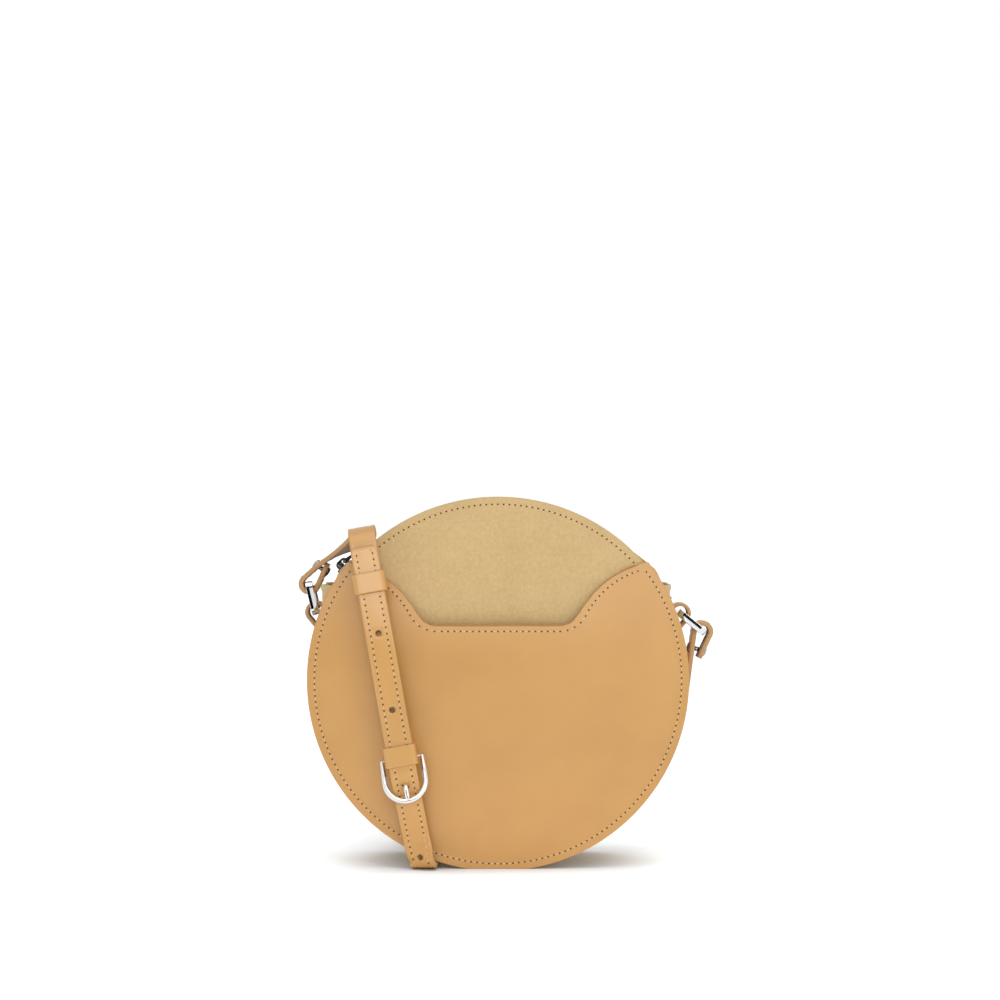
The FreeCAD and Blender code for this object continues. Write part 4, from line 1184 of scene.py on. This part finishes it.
def finish_node(node, finish):
    """Give a shape of the construction its finish."""
    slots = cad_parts[node].data.materials
    slots.clear()
    slots.append(finish)


for name, bm, body, node in (("zip_slider_metal", slider_mesh(), "slider", "zip_slider"),
                             ("zip_puller_metal", puller_mesh(), "puller", "zip_puller")):
    piece = place_piece(name, bm, body, [dark_nickel], [node])
    piece.data.set_sharp_from_angle(angle=CAST_SHADE_ANGLE)
finish_node("zip_stops", dark_nickel)

# Keepers. Two loops of the strap's leather, each one band bent round the strap and closed behind it. The
# fixed one holds the long strap at the buckle, and the other slides along both straps.
KEEPER_TURN = 0.0019
KEEPER_LIP = 0.0012
FIXED_KEEPER_Z = BAR_Z + 0.002
SLIDING_KEEPER_Z = 0.1437


def keeper_mesh(z, near_y, far_y):
    """Closed leather loop round the strap layers between two depths."""
    half_width = STRAP_WIDTH / 2 + KEEPER_CLEAR + KEEPER_WALL / 2
    half_depth = (far_y - near_y) / 2 + KEEPER_WALL / 2
    centre = on_front(z, (near_y + far_y) / 2)
    band = Band(centre + to_bag * half_depth, run_across, Vector((0, -1, 0)))
    side = half_width - KEEPER_TURN
    depth = 2 * (half_depth - KEEPER_TURN)
    for run, steps in ((side, 3), (2 * side, 6)):
        band.straight(run, steps).bend(90, KEEPER_TURN, 6).straight(depth, 2).bend(90, KEEPER_TURN, 6)
    band.straight(side, 3)
    return band_mesh(band, KEEPER_LENGTH, KEEPER_WALL, KEEPER_LIP, 0.0)


half_strap = STRAP_THICK / 2
near = hole_strap_y - half_strap - LAYER_GAP
far = hole_strap_y + half_strap + LAYER_GAP
fixed = keeper_mesh(FIXED_KEEPER_Z, near, far)
place_piece("fixed_keeper_leather", fixed, "bag", strap_finishes, ["fixed_keeper"])
near = hole_strap_y - half_strap - KEEPER_CLEAR
far = STRAP_Y + half_strap + KEEPER_CLEAR
sliding = keeper_mesh(SLIDING_KEEPER_Z, near, far)
place_piece("sliding_keeper_leather", sliding, "keeper", strap_finishes, ["sliding_keeper"])

# Boards and linings. Fibre boards stiffen the two panels, and a plain cotton lining covers the inside. Both
# are plain sheets that are glued in, so the construction's own shapes are kept and only take finishes here.
LINING_DARK = (0.24, 0.17, 0.10, 1)
LINING_LIGHT = (0.36, 0.27, 0.17, 1)
LINING_PITCH = 0.0014
BOARD_DARK = (0.28, 0.24, 0.19, 1)
BOARD_LIGHT = (0.40, 0.35, 0.28, 1)
lining_cloth = weave_finish("lining_cloth", LINING_DARK, LINING_LIGHT, LINING_PITCH)
fibre_board = edge_finish("fibre_board", BOARD_DARK, BOARD_LIGHT)
for node in ("front_lining", "back_lining", "gusset_lining"):
    finish_node(node, lining_cloth)
for node in ("front_board", "back_board"):
    finish_node(node, fibre_board)

# Stitching. Waxed thread in short stitches between punched holes, along the rim, the mouth and the strap.
# One stitch with its hole, a flat dark disc of painted shade, is made once and laid along every row at an
# even pitch.
STITCH_PITCH = 0.0031
THREAD_LENGTH = 0.0021
THREAD_WIDTH = 0.00062
THREAD_SINK = 0.00008
THREAD_DARK = (0.62, 0.42, 0.19, 1)
THREAD_LIGHT = (0.82, 0.62, 0.36, 1)
HOLE_WIDTH = 0.00095
HOLE_LIFT = 0.00004
HOLE_SIDES = 8
PAINTED_HOLE_SHADE_DARK = (0.10, 0.045, 0.012, 1)
PAINTED_HOLE_SHADE_LIGHT = (0.17, 0.08, 0.025, 1)
RIM_STITCH_IN = 0.0038
MOUTH_STITCH_IN = 0.0031
STRAP_STITCH_IN = 0.0027
SUEDE_ROW_GAP = 0.03
LEATHER_ROW_GAP = 0.02
MOUTH_ROW_GAP = 0.003
PROBE = 0.0005
SHORT_ROW_END = 0.046
thread, thread_shader, thread_at = new_finish("waxed_thread", Specular_IOR_Level=0.3)
twist = thread_at.noise(2400.0, 2.0, 0.5)
feed(thread_shader, Base_Color=twist.between(0.3, 0.7).tint(THREAD_DARK, THREAD_LIGHT))
feed(thread_shader, Roughness=0.55 + twist * 0.2)
# Each needle hole is a flat dark disc on the surface: painted shade.
needle_hole_painted_shade, hole_shader, hole_at = new_finish("needle_hole_painted_shade", Specular_IOR_Level=0.1)
shadow = hole_at.noise(3000.0, 1.0, 0.5)
feed(hole_shader, Base_Color=shadow.between(0.3, 0.7).tint(PAINTED_HOLE_SHADE_DARK, PAINTED_HOLE_SHADE_LIGHT))
feed(hole_shader, Roughness=0.9 + shadow * 0.05)

stitch = bmesh.new()
body = Matrix.Translation((0, 0, THREAD_WIDTH * 0.05))
body = body @ Matrix.Diagonal((THREAD_LENGTH / 2, THREAD_WIDTH / 2, THREAD_WIDTH * 0.42, 1))
bmesh.ops.create_uvsphere(stitch, u_segments=6, v_segments=5, radius=1.0, matrix=body)
# The disc of painted shade for the needle hole, lifted just off the surface.
bmesh.ops.create_circle(stitch, cap_ends=True, segments=HOLE_SIDES, radius=HOLE_WIDTH / 2,
                        matrix=Matrix.Translation((STITCH_PITCH / 2, 0, HOLE_LIFT)))
for face in stitch.faces:
    face.material_index = 1 if len(face.verts) == HOLE_SIDES else 0
one_stitch = bpy.data.meshes.new("one_stitch")
stitch.to_mesh(one_stitch)
stitch.free()


def stitch_row(bm, spots):
    """Lay the stitch, with the dark disc of painted shade at its needle hole, at (place, along, outward)
    spots.
    """
    for place, along, outward in spots:
        across = outward.cross(along).normalized()
        spot = Matrix.Translation(place) @ Matrix((along, across, outward)).transposed().to_4x4()
        one_stitch.transform(spot)
        bm.from_mesh(one_stitch)
        one_stitch.transform(spot.inverted())


def stitch_piece(name, bm, body):
    return place_piece(name, bm, body, [thread, needle_hole_painted_shade])


def rim_spots(centre_z, reach, start, end, face_y, outward_y):
    """Stitch spots inside a rim between two angles."""
    count = int(abs(end - start) * POCKET_RADIUS / STITCH_PITCH)
    spots = []
    for i in range(count):
        places = []
        for angle in (start + (end - start) * i / count, start + (end - start) * (i + 0.1) / count):
            far = reach(angle) - RIM_STITCH_IN
            x = far * math.cos(angle)
            z = centre_z + far * math.sin(angle)
            places.append(Vector((x, face_y(x, z), z)))
        spots.append((places[0], (places[1] - places[0]).normalized(), Vector((0, outward_y, 0))))
    return spots


def suede_face(x, z):
    return 0.0


def back_face(x, z):
    return DEPTH


def body_angle(point_angle):
    """Angle at the body's centre of a rim point given by its angle at the pocket's start point."""
    far = ray_to_circle(POCKET_START, BODY_CENTRE, POCKET_RADIUS, point_angle)
    return math.atan2(POCKET_START + far * math.sin(point_angle) - BODY_CENTRE, far * math.cos(point_angle))


def leather_rim(angle):
    return POCKET_RADIUS


rim_corner = body_angle(corner_angle)
rows = bmesh.new()
start = rim_corner + SUEDE_ROW_GAP
end = math.pi - rim_corner - SUEDE_ROW_GAP
stitch_row(rows, rim_spots(BODY_CENTRE, panel_reach, start, end, suede_face, -1))
start = rim_corner - LEATHER_ROW_GAP
end = -math.pi - rim_corner + LEATHER_ROW_GAP
stitch_row(rows, rim_spots(BODY_CENTRE, leather_rim, start, end, pocket_face, -1))
mouth = mouth_line()
whole_mouth = [Vector((-p.x, p.y)) for p in reversed(mouth[1:])] + mouth
travel = 0.0
for a, b in zip(whole_mouth, whole_mouth[1:]):
    run = (b - a).length
    along = (b - a).normalized()
    below = Vector((along.y, -along.x))
    while travel < run:
        spot = a + along * travel + below * MOUTH_STITCH_IN
        if abs(spot.x) < MOUTH_CORNER[0] - MOUTH_ROW_GAP:
            place = Vector((spot.x, pocket_face(spot.x, spot.y), spot.y))
            ahead = spot + along * PROBE
            tangent = Vector((ahead.x, pocket_face(ahead.x, ahead.y), ahead.y)) - place
            side = spot + below * PROBE
            downward = Vector((side.x, pocket_face(side.x, side.y), side.y)) - place
            outward = downward.cross(tangent).normalized()
            stitch_row(rows, [(place, tangent.normalized(), outward if outward.y < 0 else -outward)])
        travel += STITCH_PITCH
    travel -= run
stitch_piece("front_stitching", rows, "bag")
rows = bmesh.new()
stitch_row(rows, rim_spots(BODY_CENTRE, panel_reach, 0.0, 2 * math.pi, back_face, 1))
stitch_piece("back_stitching", rows, "bag")


def band_spots(band, start, end, offset, outer_side):
    """Stitch spots along a band at an offset from its centre line, on its grain or flesh side."""
    spots = []
    distance = start
    while distance < end:
        place, ahead, inner = band.at(distance)
        across = ahead.cross(inner)
        outward = inner * -outer_side
        spots.append((place + across * offset + outward * (STRAP_THICK / 2 - THREAD_SINK), ahead, outward))
        distance += STITCH_PITCH
    return spots


stitch_offset = STRAP_WIDTH / 2 - STRAP_STITCH_IN
for name, band, bodies, ends in (
        ("short_strap_stitching", short_strap, ("ring_left_swinging", "bag"), LEFT_SOFT),
        ("long_strap_stitching", long_strap, ("bag", "ring_right_swinging"), RIGHT_SOFT)):
    rows = bmesh.new()
    last = band.length() - STRAP_STITCH_IN if band is long_strap else SHORT_ROW_END
    for offset in (-stitch_offset, stitch_offset):
        for outer_side in (1, -1):
            stitch_row(rows, band_spots(band, STRAP_STITCH_IN, last, offset, outer_side))
    if band is long_strap:
        place, ahead, inner = band.at(STRAP_STITCH_IN)
        for i in (-1, 0):
            spot = place + run_across * (STITCH_PITCH * (i + 0.5)) - inner * (STRAP_THICK / 2 - THREAD_SINK)
            stitch_row(rows, [(spot, run_across, -inner)])
    piece = stitch_piece(name, rows, "")
    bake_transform(piece)

# Stage. A white floor that keeps the bag's shadow and has painted shade near the bag, where ambient occlusion
# greys its colour and dims its glow; black cards behind the camera that draw dark lines in the polished
# metal, soft studio lamps, and a level camera at the height of the bag's top.
FLOOR_REACH = 8.0
FLOOR_GLOW = 0.51
FLOOR_TONE = (0.86, 0.91, 0.97, 1)
PAINTED_SHADE_TONE = (0.72, 0.76, 0.81, 1)
PAINTED_SHADE_REACH = 0.045
FLAG_TONE = (0.004, 0.004, 0.004, 1)
FLAG_Y = -1.7
SKY_FILL = 0.42
SKY_SEEN = 0.58

floor_mesh = bmesh.new()
bmesh.ops.create_grid(floor_mesh, x_segments=1, y_segments=1, size=FLOOR_REACH)
floor = mesh_object("floor", floor_mesh)
floor_finish, floor_shader, floor_at = new_finish("white_floor", Roughness=0.9, Specular_IOR_Level=0.1)
floor_shader.inputs["Emission Strength"].default_value = FLOOR_GLOW
# Painted shade: ambient occlusion near the bag greys the floor's colour and dims its glow.
occlusion_for_painted_shade = floor_at.node("ShaderNodeAmbientOcclusion", {"samples": 4}, {"Distance": PAINTED_SHADE_REACH}, out=1)
free_of_painted_shade = occlusion_for_painted_shade.between(0.30, 0.92)
feed(floor_shader, Base_Color=free_of_painted_shade.tint(PAINTED_SHADE_TONE, FLOOR_TONE))
feed(floor_shader, Emission_Color=free_of_painted_shade.tint((0, 0, 0, 1), (1, 1, 1, 1)))
floor.data.materials.append(floor_finish)

flag_finish, flag_shader, _ = new_finish("black_cloth", Roughness=1.0, Specular_IOR_Level=0.0)
flag_shader.inputs["Base Color"].default_value = FLAG_TONE


def black_flag(name, place, half_width, half_height):
    """Upright black card behind the camera that draws dark lines in the polished metal."""
    spot = Matrix.Translation(place) @ Matrix.Rotation(math.pi / 2, 4, "X")
    spot = spot @ Matrix.Diagonal((half_width, half_height, 1, 1))
    card = bmesh.new()
    bmesh.ops.create_grid(card, x_segments=1, y_segments=1, size=1.0, matrix=spot)
    flag = mesh_object(name, card)
    flag.data.materials.append(flag_finish)
    flag.visible_camera = False
    flag.visible_shadow = False
    flag.visible_diffuse = False


black_flag("wide_flag", (-0.20, FLAG_Y, 0.34), half_width=0.40, half_height=0.34)
black_flag("low_flag", (0.27, FLAG_Y, 0.06), half_width=0.07, half_height=0.06)

world = bpy.data.worlds.new("studio")
bpy.context.scene.world = world
world.use_nodes = True
sky = world.node_tree.nodes["Background"]
path = world.node_tree.nodes.new("ShaderNodeLightPath")
seen = Shade(world.node_tree, path.outputs["Is Camera Ray"])
mirror = Shade(world.node_tree, path.outputs["Is Glossy Ray"])
through = Shade(world.node_tree, path.outputs["Is Transmission Ray"])
sky.inputs["Color"].default_value = (1, 1, 1, 1)
level = seen.maths("MAXIMUM", seen.maths("MAXIMUM", seen, mirror), through)
strength = level * SKY_SEEN + SKY_FILL
world.node_tree.links.new(strength.socket, sky.inputs["Strength"])


def soft_sun(name, aim, angle, strength):
    """Distant soft lamp shining along aim."""
    lamp = bpy.data.lights.new(name, "SUN")
    lamp.angle = math.radians(angle)
    lamp.energy = strength
    made = bpy.data.objects.new(name, lamp)
    made.rotation_euler = Vector(aim).to_track_quat("-Z", "Y").to_euler()
    bpy.context.scene.collection.objects.link(made)


soft_sun("overhead", aim=(-0.10, 0.35, -1.0), angle=60.0, strength=0.82)
soft_sun("front_panel_light", aim=(0.02, 1.0, -0.44), angle=24.0, strength=0.47)
soft_sun("right_side_light", aim=(-0.72, 1.0, -0.42), angle=24.0, strength=0.31)

camera_data = bpy.data.cameras.new("camera")
camera_data.sensor_width = 36.0
camera_data.lens = 86.4
camera = bpy.data.objects.new("camera", camera_data)
camera.location = (0.001, -1.2, 0.18425)
camera.rotation_euler = (math.pi / 2, 0, 0)
bpy.context.scene.collection.objects.link(camera)
bpy.context.scene.camera = camera
bpy.context.scene.view_settings.view_transform = "Standard"
